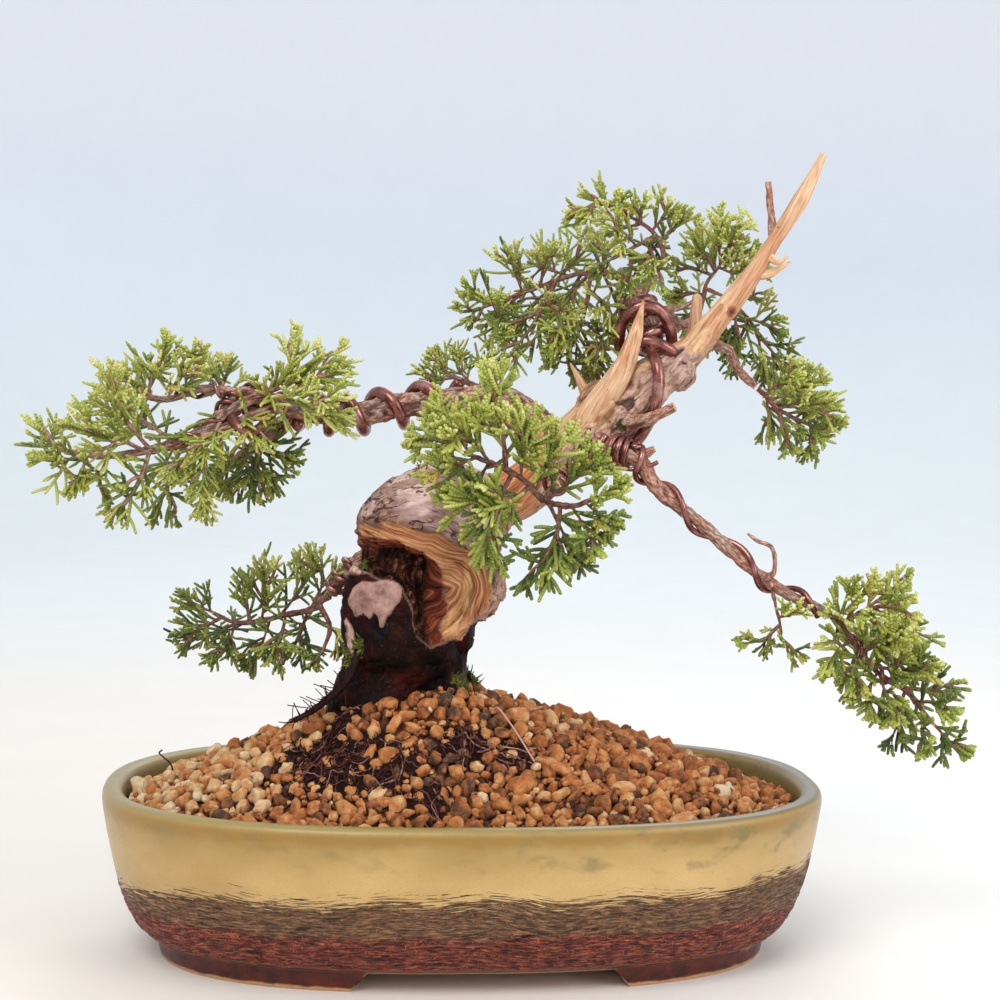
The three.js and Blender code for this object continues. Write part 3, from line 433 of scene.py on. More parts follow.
class Finish:
    """A material built from nodes."""

    def __init__(self, name, **sockets):
        self.material = bpy.data.materials.new(name)
        self.material.use_nodes = True
        self.tree = self.material.node_tree
        self.shader = self.tree.nodes["Principled BSDF"]
        for key, value in sockets.items():
            self.shader.inputs[key.replace("_", " ")].default_value = value

    def node(self, kind, inputs=None, **settings):
        made = self.tree.nodes.new(kind)
        for key, value in settings.items():
            setattr(made, key, value)
        for key, value in (inputs or {}).items():
            self.feed(made.inputs[key], value)
        return made

    def feed(self, socket, value):
        if isinstance(value, bpy.types.NodeSocket):
            self.tree.links.new(value, socket)
        else:
            socket.default_value = value

    def value(self, name):
        return self.node("ShaderNodeAttribute", attribute_name=name).outputs["Fac"]

    def vector(self, name):
        return self.node("ShaderNodeAttribute", attribute_name=name).outputs["Vector"]

    def place(self):
        """The point on the object, in millimetres."""
        here = self.node("ShaderNodeTexCoord").outputs["Object"]
        scale = self.node("ShaderNodeVectorMath", {0: here, "Scale": 1000.0}, operation="SCALE")
        return scale.outputs["Vector"]

    def stretched(self, vector, scale):
        made = self.node("ShaderNodeVectorMath", {0: vector, 1: scale}, operation="MULTIPLY")
        return made.outputs["Vector"]

    def noise(self, vector, scale, detail=3.0, roughness=0.55, distortion=0.0):
        """Noise of one scale, or of three that stretch it along the parts of the vector."""
        if isinstance(scale, tuple):
            vector, scale = self.stretched(vector, scale), 1.0
        inputs = {"Vector": vector, "Scale": scale, "Detail": detail, "Roughness": roughness}
        return self.node("ShaderNodeTexNoise", inputs | {"Distortion": distortion}).outputs["Fac"]

    def cell_edges(self, vector, scale):
        """Distance from the edges of random cells."""
        inputs = {"Vector": self.stretched(vector, scale), "Scale": 1.0}
        return self.node("ShaderNodeTexVoronoi", inputs, feature="DISTANCE_TO_EDGE").outputs["Distance"]

    def math(self, operation, a, b=0.0):
        return self.node("ShaderNodeMath", {0: a, 1: b}, operation=operation).outputs[0]

    def plus(self, a, b):
        return self.math("ADD", a, b)

    def minus(self, a, b):
        return self.math("SUBTRACT", a, b)

    def times(self, a, b):
        return self.math("MULTIPLY", a, b)

    def varied(self, value, by, amount):
        """The value, moved up or down by another that swings round a half."""
        return self.plus(value, self.times(self.minus(by, 0.5), amount))

    def range(self, value, low, high, to_low=0.0, to_high=1.0):
        inputs = {"Value": value, "From Min": low, "From Max": high, "To Min": to_low, "To Max": to_high}
        return self.node("ShaderNodeMapRange", inputs, interpolation_type="SMOOTHSTEP").outputs["Result"]

    def ramp(self, value, *stops):
        """A colour for a number, from stops of (position, red, green, blue)."""
        made = self.node("ShaderNodeValToRGB", {"Fac": value})
        elements = made.color_ramp.elements
        while len(elements) < len(stops):
            elements.new(0.5)
        for element, (position, *_) in zip(elements, stops):
            element.position = position
        for element, (_, *colour) in zip(elements, stops):
            element.color = srgb(*colour)
        return made.outputs["Color"]

    def mix(self, share, a, b, blend="MIX"):
        """The colour a where share is 0 and b where it is 1; either may be screen values."""
        made = self.node("ShaderNodeMix", data_type="RGBA", blend_type=blend)
        self.feed(made.inputs[0], share)
        for socket, colour in ((6, a), (7, b)):
            self.feed(made.inputs[socket], srgb(*colour) if isinstance(colour, tuple) else colour)
        return made.outputs[2]

    def between(self, share, a, b):
        """The number a where share is 0 and b where it is 1."""
        made = self.node("ShaderNodeMix", data_type="FLOAT")
        self.feed(made.inputs[0], share)
        self.feed(made.inputs[2], a)
        self.feed(made.inputs[3], b)
        return made.outputs[0]

    def raised(self, vector, height):
        """The vector with a number added to its third part."""
        lift = self.node("ShaderNodeCombineXYZ", {"Z": height}).outputs["Vector"]
        return self.node("ShaderNodeVectorMath", {0: vector, 1: lift}, operation="ADD").outputs["Vector"]

    def separate(self, vector):
        return self.node("ShaderNodeSeparateXYZ", {0: vector}).outputs

    def bump(self, height, distance, strength=1.0, below=None):
        """Fine relief; distance is the height in millimetres of a full step."""
        inputs = {"Height": height, "Distance": distance * METRES, "Strength": strength}
        if below is not None:
            inputs["Normal"] = below
        return self.node("ShaderNodeBump", inputs).outputs["Normal"]

    def finish(self, colour=None, roughness=None, normal=None):
        for key, value in (("Base Color", colour), ("Roughness", roughness), ("Normal", normal)):
            if value is not None:
                self.feed(self.shader.inputs[key], value)
        return self.material


# ---------- stage, light and camera ----------
def floor_material():
    """Pale floor that whitens upwards and outwards, with painted light towards the right near the middle."""
    f = Finish("pale_floor", Roughness=0.8)
    here = f.place()
    grain = f.noise(here, 0.02, 2.0)
    flat = f.stretched(here, (1, 1, 0))
    outward = f.node("ShaderNodeVectorMath", {0: flat}, operation="LENGTH").outputs["Value"]
    way = f.plus(outward, f.separate(here)[2])
    colour = f.ramp(
        f.math("DIVIDE", way, 3000.0),
        (0.13, 230, 222, 214), (0.32, 223, 224, 222), (0.61, 222, 226, 226), (0.8, 226, 231, 238),
        (0.94, 235, 233, 238),
    )
    # Painted light: the floor turns whiter towards the right, near the middle.
    near = f.range(outward, 900.0, 250.0)
    painted_light_right = f.times(f.range(f.separate(here)[0], -200.0, 300.0, 0.0, 0.42), near)
    paler = f.plus(f.range(grain, 0.3, 0.7, 0.0, 0.05), painted_light_right)
    return f.finish(f.mix(paler, colour, (255, 255, 255)))


def stage():
    """A pale floor that rises in a wide curve all round, so that no edge shows behind the object."""
    flat, bend, top = 1400, 900, 1500
    profile = [(r, 0) for r in np.linspace(0, flat, 8)[1:]]
    for a in np.linspace(0.1, math.pi / 2, 14):
        profile.append((flat + bend * math.sin(a), bend * (1 - math.cos(a))))
    profile.append((flat + bend, top))
    turns = 96
    angles = 2 * np.pi * np.arange(turns) / turns
    rings = [(r * math.cos(a), r * math.sin(a), z) for r, z in profile for a in angles]
    quads, fans = ring_faces(len(profile), turns)
    mesh = mesh_from("floor", np.array([*rings, (0, 0, 0)], float), quads[:, ::-1], fans[:turns, ::-1])
    mesh.materials.append(floor_material())
    linked("floor", mesh)


def area_light(name, position, target, size, power, colour):
    """A round lamp that shines at a target; metres and watts."""
    data = bpy.data.lights.new(name, "AREA")
    data.shape = "DISK"
    data.size = size
    data.energy = power
    data.color = colour
    lamp = linked(name, data)
    lamp.location = position
    lamp.rotation_euler = (Vector(target) - Vector(position)).to_track_quat("-Z", "Y").to_euler()


def lights():
    """A soft sky, a warm key light from the left, a fill from the right and a light behind."""
    world = bpy.data.worlds.new("studio")
    world.use_nodes = True
    world.node_tree.nodes["Background"].inputs["Color"].default_value = (0.86, 0.94, 1.0, 1.0)
    world.node_tree.nodes["Background"].inputs["Strength"].default_value = 0.78
    bpy.context.scene.world = world
    middle = (0, 0, 0.12)
    area_light("key", (-0.55, -1.15, 1.35), middle, 1.1, 18.5, (1.0, 0.965, 0.92))
    area_light("fill", (1.3, -1.0, 0.75), middle, 1.1, 10.5, (0.99, 0.985, 0.98))
    area_light("back", (0.3, 1.3, 1.2), middle, 1.2, 7, (0.93, 0.97, 1.0))
    bpy.context.scene.view_settings.view_transform = "Standard"
    bpy.context.scene.view_settings.look = "None"


def camera():
    """A view from the front, a little from above and from the left, rolled a little."""
    data = bpy.data.cameras.new("camera")
    data.lens = 75.6
    data.sensor_width = 36
    data.clip_start = 0.01
    data.clip_end = 20
    made = linked("camera", data)
    place = Vector((-48.6, -698.4, 204.0)) + Vector(OFFSET)
    forward = Vector((0.0846, 0.9935, -0.0764)).normalized()
    right = forward.cross(Vector((0, 0, 1))).normalized()
    up = right.cross(forward)
    roll = -0.015
    across = right * math.cos(roll) - up * math.sin(roll)
    above = right * math.sin(roll) + up * math.cos(roll)
    turn = Matrix((across, above, -forward)).transposed()
    made.matrix_world = Matrix.Translation(place * METRES) @ turn.to_4x4()
    bpy.context.scene.camera = made


stage()
lights()
camera()


# ---------- pot ----------
def oval_outline(segments):
    """Cosine and sine of a rounded oblong, raised to its power, at even steps along the rim."""
    fine = np.linspace(0, 2 * np.pi, 20001)
    power = 2 / ROUNDNESS
    c = np.sign(np.cos(fine)) * np.abs(np.cos(fine)) ** power
    s = np.sign(np.sin(fine)) * np.abs(np.sin(fine)) ** power
    reach = reach_along(np.stack([c * HALF_LENGTH, s * HALF_WIDTH], axis=1))
    at = reach[-1] * np.arange(segments) / segments
    return np.interp(at, reach, c), np.interp(at, reach, s)


def oval_rings(inset, height, c, s):
    """Places round the pot's oval, at an inset from its rim and a height or at many of them."""
    x = (HALF_LENGTH - inset) * c
    y = (HALF_WIDTH - inset) * s
    return np.stack(np.broadcast_arrays(x, y, height), axis=-1)


def pot_room(x, y, inset):
    """How far round the pot a point lies: under 1 is inside the oval at that inset."""
    u = np.abs(x) / (HALF_LENGTH - inset)
    v = np.abs(y) / (HALF_WIDTH - inset)
    return (u**ROUNDNESS + v**ROUNDNESS) ** (1 / ROUNDNESS)


def smooth_profile(points, step):
    """A section's points, joined by a smooth curve and taken at even steps."""
    flat = np.array([(a, 0, b) for a, b in points], float)
    dense, _, _ = on_curve(flat, np.linspace(0, 1, 60 * len(points)))
    reach = reach_along(dense)
    at = np.linspace(0, reach[-1], max(2, round(reach[-1] / step)))
    return np.stack([np.interp(at, reach, dense[:, 0]), np.interp(at, reach, dense[:, 2])], axis=1)


# Where the glaze ends, as (x, z).
GLAZE_END = [
    (-120, 26.5), (-107, 27.5), (-93, 30.5), (-72, 32), (-48, 30.4), (-31, 32.4), (2, 33.2), (42, 32),
    (79, 31.6), (89, 33.2), (120, 35),
]


def clay_edge(points):
    """Height at which the glaze ends, which wanders round the pot."""
    across, height = zip(*GLAZE_END)
    level = np.interp(points[:, 0], across, height)
    return level + 1.2 * fbm(points * [0.07, 0.07, 0], 2, 31) + 1.8 * fbm(points * [0.13, 0.13, 0.6], 3, 32)


def clay_relief(points):
    """Relief of the scratched clay: long level grooves, torn ridges and loose flecks."""
    drag = points * [0.075, 0.075, 0.9]
    drag[:, 2] += 0.9 * noise(points * [0.05, 0.05, 0.1], 33)
    grooves = -np.abs(fbm(drag, 3, 34))
    torn = fbm(points * [0.33, 0.33, 0.8], 3, 35)
    flecks = smoothstep(0.28, 0.55, noise(points * [0.42, 0.42, 0.85], 36))
    return 1.25 * grooves + 0.55 * torn + 0.5 * flecks


def pot_body():
    """The pot without its feet and drain holes, as one closed surface."""
    segments, fine_step, coarse_step = 720, 0.62, 1.6
    outside = smooth_profile(POT_OUTSIDE + POT_RIM[:1], fine_step)
    rim = smooth_profile(POT_RIM, fine_step)[1:]
    inside = smooth_profile(POT_RIM[-1:] + POT_INSIDE, coarse_step)[1:]
    inset, height = np.vstack([POT_UNDERSIDE, outside, rim, inside, POT_FLOOR]).T[..., None]
    rings = oval_rings(inset, height, *oval_outline(segments))
    return closed_rings(rings, (0, 0, POT_UNDERSIDE[0][1]), (0, 0, POT_FLOOR[-1][1]))


# A foot's section, as (inset, height).
FOOT_SECTION = [
    (FOOT_OUTER + 0.25, 0), (FOOT_OUTER - 0.15, 0.5), (FOOT_OUTER - 0.6, 2.5), (FOOT_OUTER - 1.1, 5),
    (FOOT_OUTER - 1.4, 7), (FOOT_OUTER - 1.6, FOOT_TOP), (FOOT_INNER, FOOT_TOP), (FOOT_INNER, 0.3),
    (FOOT_INNER - 0.3, 0),
]


def foot_line(inset, height, inner_end, c, s):
    """Places along a quarter of the oval, from a foot's inner end to its outer one, both slanted."""
    steps = 110
    x = np.abs((HALF_LENGTH - inset) * c)
    y = np.abs((HALF_WIDTH - inset) * s)
    order = np.argsort(x)
    x, y = x[order], y[order]
    reach = reach_along(np.stack([x, y], axis=1))
    slope = FOOT_SLANT * height / FOOT_HEIGHT
    at = np.linspace(np.interp(inner_end - slope, x, reach), np.interp(slope - GAP_END, -y, reach), steps)
    return np.stack([np.interp(at, reach, x), np.interp(at, reach, y), np.full(steps, height)], axis=1)


def feet():
    """Four feet under the wall, as closed solids that reach into the body."""
    c, s = oval_outline(2400)
    shell = Shell()
    for to_x, to_y in itertools.product((-1, 1), repeat=2):
        mirrored = to_x * to_y < 0
        inner_end = GAP_RIGHT if mirrored else -GAP_LEFT
        quarter = (c * to_x > 0) & (s * to_y > 0)
        lines = [foot_line(*corner, inner_end, c[quarter], s[quarter]) for corner in FOOT_SECTION]
        rings = np.array(lines).transpose(1, 0, 2) * (to_x, to_y, 1)
        points, quads, fans = closed_rings(rings, rings[0].mean(axis=0), rings[-1].mean(axis=0))
        if mirrored:
            quads, fans = quads[:, ::-1], fans[:, ::-1]
        shell.add(points, quads, fans)
    return shell.mesh("feet")


def boolean(mesh, tool_mesh, operation):
    """The mesh joined with another, or cut by it."""
    tool = linked("tool", tool_mesh)
    settings = {"object": tool, "operation": operation, "solver": "MANIFOLD"}
    made = with_modifiers("pot_work", mesh, ("BOOLEAN", settings))
    bpy.data.objects.remove(tool)
    return made


def drain_cutter():
    """Two round posts, from below the pot's floor to above it."""
    heights, sides = (-5, 5, 12, 20), 48
    paths = np.array([[(x, 0, z) for z in heights] for x in (-DRAIN_X, DRAIN_X)], float)
    return tubes(paths, np.full((2, len(heights)), float(DRAIN_RADIUS)), sides)


def glaze_colour(f, here, fine, speck):
    """Ochre glaze with darker blotches, olive towards the rim, with painted shade towards the pot's ends and
    on the rim towards the right; grey-green on the rim and inside.
    """
    x, _, height = (f.separate(here)[k] for k in range(3))
    cloudy = f.noise(here, (0.03, 0.03, 0.05), 3.0)
    glaze = f.ramp(cloudy, (0.3, 184, 149, 92), (0.5, 198, 163, 105), (0.7, 207, 173, 117))
    glaze = f.mix(f.range(fine, 0.35, 0.7, 0.0, 0.4), glaze, (172, 138, 84))
    glaze = f.mix(f.range(speck, 0.67, 0.75, 0.0, 0.7), glaze, (104, 80, 46))
    wander = f.noise(here, (0.05, 0.05, 0.08), 3.0)
    band_height = f.plus(height, f.times(wander, 9.0))
    glaze = f.mix(f.range(band_height, 42.0, 60.0, 0.0, 0.8), glaze, (146, 122, 62))
    under_rim = f.times(f.range(band_height, 52.5, 57.0), f.range(height, 55.0, 53.0))
    glaze = f.mix(f.times(under_rim, 0.7), glaze, (140, 100, 36))
    blotch = f.noise(here, (0.07, 0.07, 0.12), 3.0, 0.6)
    blotch = f.times(f.range(blotch, 0.52, 0.7), f.range(height, 37.0, 46.0))
    glaze = f.mix(f.times(blotch, f.range(x, -30.0, 60.0, 0.3, 0.85)), glaze, (112, 104, 62))
    # Painted shade: the glaze darkens towards the pot's ends.
    to_side = f.range(f.math("ABSOLUTE", x), 55.0, 118.0, 0.0, 0.3)
    glaze = f.mix(to_side, glaze, (160, 130, 78))
    # Painted shade: the rim turns darker and greyer towards the right.
    rim_with_painted_shade = f.mix(f.range(x, -20.0, 90.0), (150, 132, 78), (112, 104, 86))
    glaze = f.mix(f.times(f.range(height, 54.7, 55.7), 0.85), glaze, rim_with_painted_shade)
    inner = f.ramp(fine, (0.3, 92, 84, 46), (0.7, 132, 118, 70))
    return f.mix(f.times(f.value("inside"), 0.9), glaze, inner)


def clay_colour(f, here, height, streak):
    """Scratched clay, brown above and red below, with loose flecks, painted shade in its grooves and a
    painted highlight above the feet.
    """
    upper = f.ramp(
        streak, (0.34, 40, 24, 18), (0.47, 98, 68, 46), (0.56, 146, 108, 72), (0.66, 196, 152, 106),
    )
    lower = f.ramp(
        streak, (0.36, 20, 5, 6), (0.46, 82, 26, 20), (0.56, 156, 72, 48), (0.66, 214, 124, 86),
    )
    bands = f.plus(height, f.times(f.noise(here, (0.05, 0.05, 0.2), 3.0), 7.0))
    clay = f.mix(f.range(bands, 25.5, 22.5), upper, lower)
    fleck = f.range(f.noise(here, 1.5, 2.0, 0.4), 0.6, 0.66)
    fleck = f.times(fleck, f.range(f.noise(here, 0.3, 2.0), 0.44, 0.56))
    clay = f.mix(f.times(fleck, 0.8), clay, (200, 112, 74))
    # Painted shade: the clay darkens in its deep grooves.
    clay = f.mix(f.range(f.value("relief"), -0.3, -0.8, 0.0, 0.9), clay, (26, 12, 12))
    # Painted light: a paler line along the lit lower edge of the body, just above the feet.
    painted_light_ledge = f.times(f.range(height, 9.2, 8.2), f.range(height, 6.6, 7.2))
    return f.mix(f.times(painted_light_ledge, 0.75), clay, (166, 96, 66))


def foot_colour(f, here, height, fine, speck):
    """Dark red glaze on the feet, with bare pale clay at their edges and underneath."""
    foot = f.ramp(f.noise(here, 0.25, 4.0), (0.35, 44, 9, 4), (0.65, 94, 26, 12))
    foot = f.mix(f.range(speck, 0.6, 0.7, 0.0, 0.6), foot, (30, 14, 12))
    raw = f.mix(f.range(fine, 0.3, 0.7), (206, 160, 112), (180, 128, 86))
    foot_edge = f.plus(height, f.times(f.noise(here, 0.15, 3.0), 1.8))
    foot = f.mix(f.range(foot_edge, 2.6, 1.7), foot, raw)
    return f.mix(f.value("underneath"), foot, raw)


def pot_material():
    f = Finish("stoneware", Coat_Weight=0.1, Coat_Roughness=0.15, Specular_IOR_Level=0.38)
    here = f.place()
    height = f.separate(here)[2]
    fine = f.noise(here, 2.2, 4.0, 0.6)
    speck = f.noise(here, 1.6, 2.0, 0.7)
    # The clay's streaks lean a little, this way and that.
    along = f.raised(here, f.times(f.noise(here, (0.02, 0.02, 0.02), 1.0), 18.0))
    streak = f.noise(along, (0.24, 0.24, 1.9), 5.0, 0.74)
    # Near its lower end the glaze is torn into streaks.
    torn = f.noise(along, (0.12, 0.12, 2.3), 5.0, 0.66)
    torn = f.minus(torn, f.times(f.value("above"), 0.04))
    clay = f.times(f.range(torn, 0.488, 0.512), f.value("outside"))
    body = f.mix(clay, glaze_colour(f, here, fine, speck), clay_colour(f, here, height, streak))
    body = f.mix(f.value("foot"), body, foot_colour(f, here, height, fine, speck))
    roughness = f.between(clay, f.range(fine, 0.3, 0.7, 0.26, 0.4), 0.72)
    dents = f.bump(fine, 0.12, 0.5)
    grit = f.plus(streak, f.noise(here, (1.2, 1.2, 3.0), 4.0, 0.7))
    return f.finish(body, roughness, f.bump(f.times(grit, f.plus(clay, 0.03)), 1.0, 1.0, dents))


def pot():
    """The pot with its clay and glaze in relief, marked for its material."""
    body = boolean(mesh_from("pot_body", *pot_body()), feet(), "UNION")
    body = boolean(body, mesh_from("drains", *drain_cutter()), "DIFFERENCE")
    points = points_of(body)
    normals = normals_of(body)
    outline = pot_room(points[:, 0], points[:, 1], 0)
    height = points[:, 2]
    outward = np.sum(normals[:, :2] * unit(points[:, :2]), axis=1)
    outside = smoothstep(-0.1, 0.25, outward) * (height > 8.0)
    inside = (outward < 0.1) * (height > 12) * smoothstep(0.93, 0.965, 1.92 - outline) * (height < 54.5)
    is_foot = (height < 8.0) & (outline > 0.6)
    cut_face = is_foot & (
        ((np.abs(normals[:, 0]) > 0.5) & (np.abs(points[:, 0]) < 60))
        | ((np.abs(normals[:, 1]) > 0.5) & (np.abs(points[:, 1]) < 22))
    )
    edge = clay_edge(points)
    clay = smoothstep(0.7, -0.7, height - edge) * outside
    relief = clay_relief(points)
    wander = fbm(points * 0.045, 2, 38)
    lift = clay * (relief * 0.95 + 0.25) + outside * 0.35 * wander
    lift += (1 - clay) * outside * 0.05 * fbm(points * 0.5, 2, 39)
    lift = np.minimum(lift, 0.45)
    lift = np.where(is_foot, 0.12 * fbm(points * 0.25, 3, 40) * (height > 0.4), lift)
    put_points(body, points + normals * lift[:, None])
    set_values(
        body,
        {
            "above": height - edge,
            "outside": outside,
            "relief": relief,
            "inside": inside.astype(float),
            "foot": is_foot.astype(float),
            "underneath": np.maximum((normals[:, 2] < -0.6) & (height < 7), cut_face).astype(float),
        },
    )
    piece("pot", body, pot_material(), ["pot"])


# ---------- drain meshes ----------
def drain_material():
    """Dark green plastic with dust on it."""
    f = Finish("mesh_plastic", Roughness=0.5)
    here = f.place()
    grain = f.noise(here, 1.5, 4.0)
    dust = f.noise(here, 0.35, 4.0, 0.7)
    colour = f.ramp(grain, (0.35, 28, 40, 33), (0.65, 46, 62, 50))
    colour = f.mix(f.range(dust, 0.5, 0.7, 0.0, 0.7), colour, (126, 96, 66))
    return f.finish(colour, f.range(dust, 0.4, 0.7, 0.42, 0.8), f.bump(grain, 0.12))


def drain_meshes():
    """Gives the solids' own drain meshes their finish."""
    finish = drain_material()
    for name in ("drain_mesh_left", "drain_mesh_right"):
        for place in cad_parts[name].material_slots:
            place.material = finish


# ---------- soil ----------
HEAP_CENTRE = (-20, -16)
HEAP_REACH = (30, 24)
HEAP_RISE = 12


def mound(x, y):
    """Height of the soil before its granules: a broad rise, heaped up against the front of the trunk."""
    away = np.hypot((x - SOIL_CENTRE_X) / SOIL_REACH[0], y / SOIL_REACH[1])
    broad = SOIL_EDGE + SOIL_RISE * np.maximum(0, 1 - away**SOIL_FALL)
    near = ((x - HEAP_CENTRE[0]) / HEAP_REACH[0]) ** 2 + ((y - HEAP_CENTRE[1]) / HEAP_REACH[1]) ** 2
    return broad + HEAP_RISE * np.exp(-near)


# Where the bed meets the pot's floor and wall, as (inset, height).
BED_WALL = [(20.6, 14.6), (12.9, 21.2), (8.9, 40), (8.6, 47.2)]
# Where the root ball shows between the granules: middle x, y, half length, half width, turn.
BARE_PATCHES = [
    (-50, -34, 13, 9, 0.6), (-37, -39, 13, 10, 0.2), (-42, -23, 10, 6, 0.9), (-26, -42, 10, 9, 0.2),
    (-15, -54, 7, 9, 0.1), (-2, -36, 11, 8, 0.1), (13, -36, 9, 7, 0.0), (-58, -27, 7, 6, 0.4),
    (-30, 34, 20, 10, 0.1),
]


def bareness(x, y):
    """1 in the middle of a bare patch of root ball, 0 outside."""
    most = np.zeros_like(x)
    for cx, cy, long, wide, turn in BARE_PATCHES:
        c, s = math.cos(turn), math.sin(turn)
        u = ((x - cx) * c + (y - cy) * s) / long
        v = (-(x - cx) * s + (y - cy) * c) / wide
        most = np.maximum(most, smoothstep(1.25, 0.6, np.hypot(u, v)))
    return most


def trunk_gap(x, y, z):
    """Distance from the trunk and surface roots, roughly."""
    nearest = np.full(np.shape(x), 1e3)
    here = np.stack([x, y, z], axis=-1)
    for points in [TRUNK_LOW[:5], *ROOTS]:
        at = stations(points, step=2.0)
        for place, radius in zip(at["place"], at["radius"]):
            nearest = np.minimum(nearest, np.linalg.norm(here - place, axis=-1) - radius)
    return nearest


def bed_height(x, y):
    """The dark bed's surface, close under the granules and bare at the root ball."""
    here = np.stack([x, y, mound(x, y)], axis=-1)
    bare = bareness(x, y)
    rough = 1.5 * fbm(here * 0.22, 4, 50) + 1.3 * bare * fbm(here * 0.6, 3, 51)
    return here[..., 2] + rough - (2.4 - 1.7 * bare)


def bed_material():
    """Nearly black painted shade that shows between the granules, or fibrous crumbs where the root ball is
    bare.
    """
    f = Finish("bed_with_painted_shade", Roughness=0.85, Specular_IOR_Level=0.2)
    fibre = f.noise(f.place(), 0.9, 5.0, 0.7, 1.2)
    # Painted shade: the nearly black colour that shows in the gaps between the granules.
    colour = f.ramp(fibre, (0.35, 16, 8, 8), (0.55, 40, 22, 18), (0.72, 92, 54, 40))
    crumbs = f.ramp(fibre, (0.35, 58, 34, 24), (0.55, 112, 70, 44), (0.72, 160, 104, 66))
    colour = f.mix(f.value("bare"), crumbs, colour)
    return f.finish(colour, f.range(fibre, 0.3, 0.7, 0.7, 0.95), f.bump(fibre, 1.2))


def soil_bed():
    """The dark closed bed under the granules, down to the pot's floor."""
    rings, turns = 90, 260
    c, s = oval_outline(turns)
    rows = [oval_rings(inset, height, c, s) for inset, height in BED_WALL]
    inset = BED_WALL[2][0]
    for share in np.linspace(0.995, 0.012, rings):
        x = (HALF_LENGTH - inset) * c * share
        y = (HALF_WIDTH - inset) * s * share
        rows.append(np.stack([x, y, bed_height(x, y)], axis=1))
    grid = np.array(rows)
    points, quads, fans = closed_rings(grid, (0, 0, BED_WALL[0][1]), grid[-1].mean(axis=0))
    bare = smoothstep(0.1, 0.4, bareness(points[:, 0], points[:, 1]) + 0.3 * noise(points * 0.3, 53))
    mesh = mesh_from("soil_bed", points, quads, fans, {"bare": bare})
    piece("soil_bed", mesh, bed_material(), ["soil"])


def ball(subdivisions):
    """Points and triangles of a sphere of radius 1."""
    work = bmesh.new()
    bmesh.ops.create_icosphere(work, subdivisions=subdivisions, radius=1)
    points = np.array([v.co[:] for v in work.verts])
    triangles = np.array([[v.index for v in face.verts] for face in work.faces])
    work.free()
    return points, triangles


def random_turns(random, count):
    """Rotation matrices drawn evenly."""
    q = unit(random.normal(size=(count, 4)))
    w, x, y, z = q.T
    return np.stack(
        [
            1 - 2 * (y * y + z * z), 2 * (x * y - z * w), 2 * (x * z + y * w),
            2 * (x * y + z * w), 1 - 2 * (x * x + z * z), 2 * (y * z - x * w),
            2 * (x * z - y * w), 2 * (y * z + x * w), 1 - 2 * (x * x + y * y),
        ],
        axis=1,
    ).reshape(count, 3, 3)


def granule_spots(random):
    """Middles and radii of the granules: big ones first, smaller ones into what room is left."""
    kept = np.empty((0, 3))
    radii = np.empty(0)
    for radius_low, radius_high, tries, lift in (
        (3.0, 4.0, 200, -0.4), (2.4, 3.1, 2400, -0.7), (1.9, 2.5, 12000, -0.9), (1.4, 1.9, 26000, -1.0),
        (0.9, 1.3, 26000, -0.5),
    ):
        x = random.uniform(-HALF_LENGTH, HALF_LENGTH, tries)
        y = random.uniform(-HALF_WIDTH, HALF_WIDTH, tries)
        r = random.uniform(radius_low, radius_high, tries)
        height = mound(x, y) + lift + random.uniform(-1.4, 0.9, tries)
        middle = np.stack([x, y, height], axis=1)
        good = pot_room(x, y, 8.2 + r) < 1
        good &= trunk_gap(x, y, height) > r * 0.5
        good &= random.random(tries) > 0.96 * bareness(x, y) ** 0.6
        for place, size in zip(middle[good], r[good]):
            if len(kept):
                away = np.sqrt(np.sum((kept - place) ** 2, axis=1))
                if np.any(away < 0.8 * (radii + size)):
                    continue
            kept = np.vstack([kept, place])
            radii = np.append(radii, size)
    return kept, radii


def granule_material():
    """Baked clay of many tints, speckled and pitted, paler on its bulges and darker in its dents: painted
    light and shade.
    """
    f = Finish("clay_granules", Roughness=0.9, Specular_IOR_Level=0.25)
    here = f.place()
    tint = f.value("tint")
    spot = f.noise(here, 0.55, 4.0, 0.6)
    grain = f.noise(here, 2.6, 4.0, 0.65)
    mixed = f.varied(tint, spot, 0.7)
    # Painted light and shade: each granule is paler on its bulges and darker in its dents.
    mixed = f.plus(mixed, f.times(f.value("ridge"), 1.1))
    colour = f.ramp(
        mixed,
        (0.0, 80, 60, 48), (0.12, 126, 80, 50), (0.26, 168, 98, 54), (0.42, 200, 126, 70),
        (0.58, 216, 152, 94), (0.74, 228, 182, 130), (0.9, 238, 206, 160), (1.0, 240, 216, 180),
    )
    colour = f.mix(f.range(grain, 0.54, 0.7, 0.0, 0.6), colour, (136, 74, 42))
    colour = f.mix(f.range(f.noise(here, 0.9, 2.0), 0.58, 0.74, 0.0, 0.4), colour, (206, 166, 122))
    pits = f.noise(here, 1.7, 2.0, 0.5)
    height = f.plus(grain, f.times(f.range(pits, 0.36, 0.3), -0.6))
    return f.finish(colour, f.range(grain, 0.3, 0.7, 0.7, 0.9), f.bump(height, 0.75, 0.95))


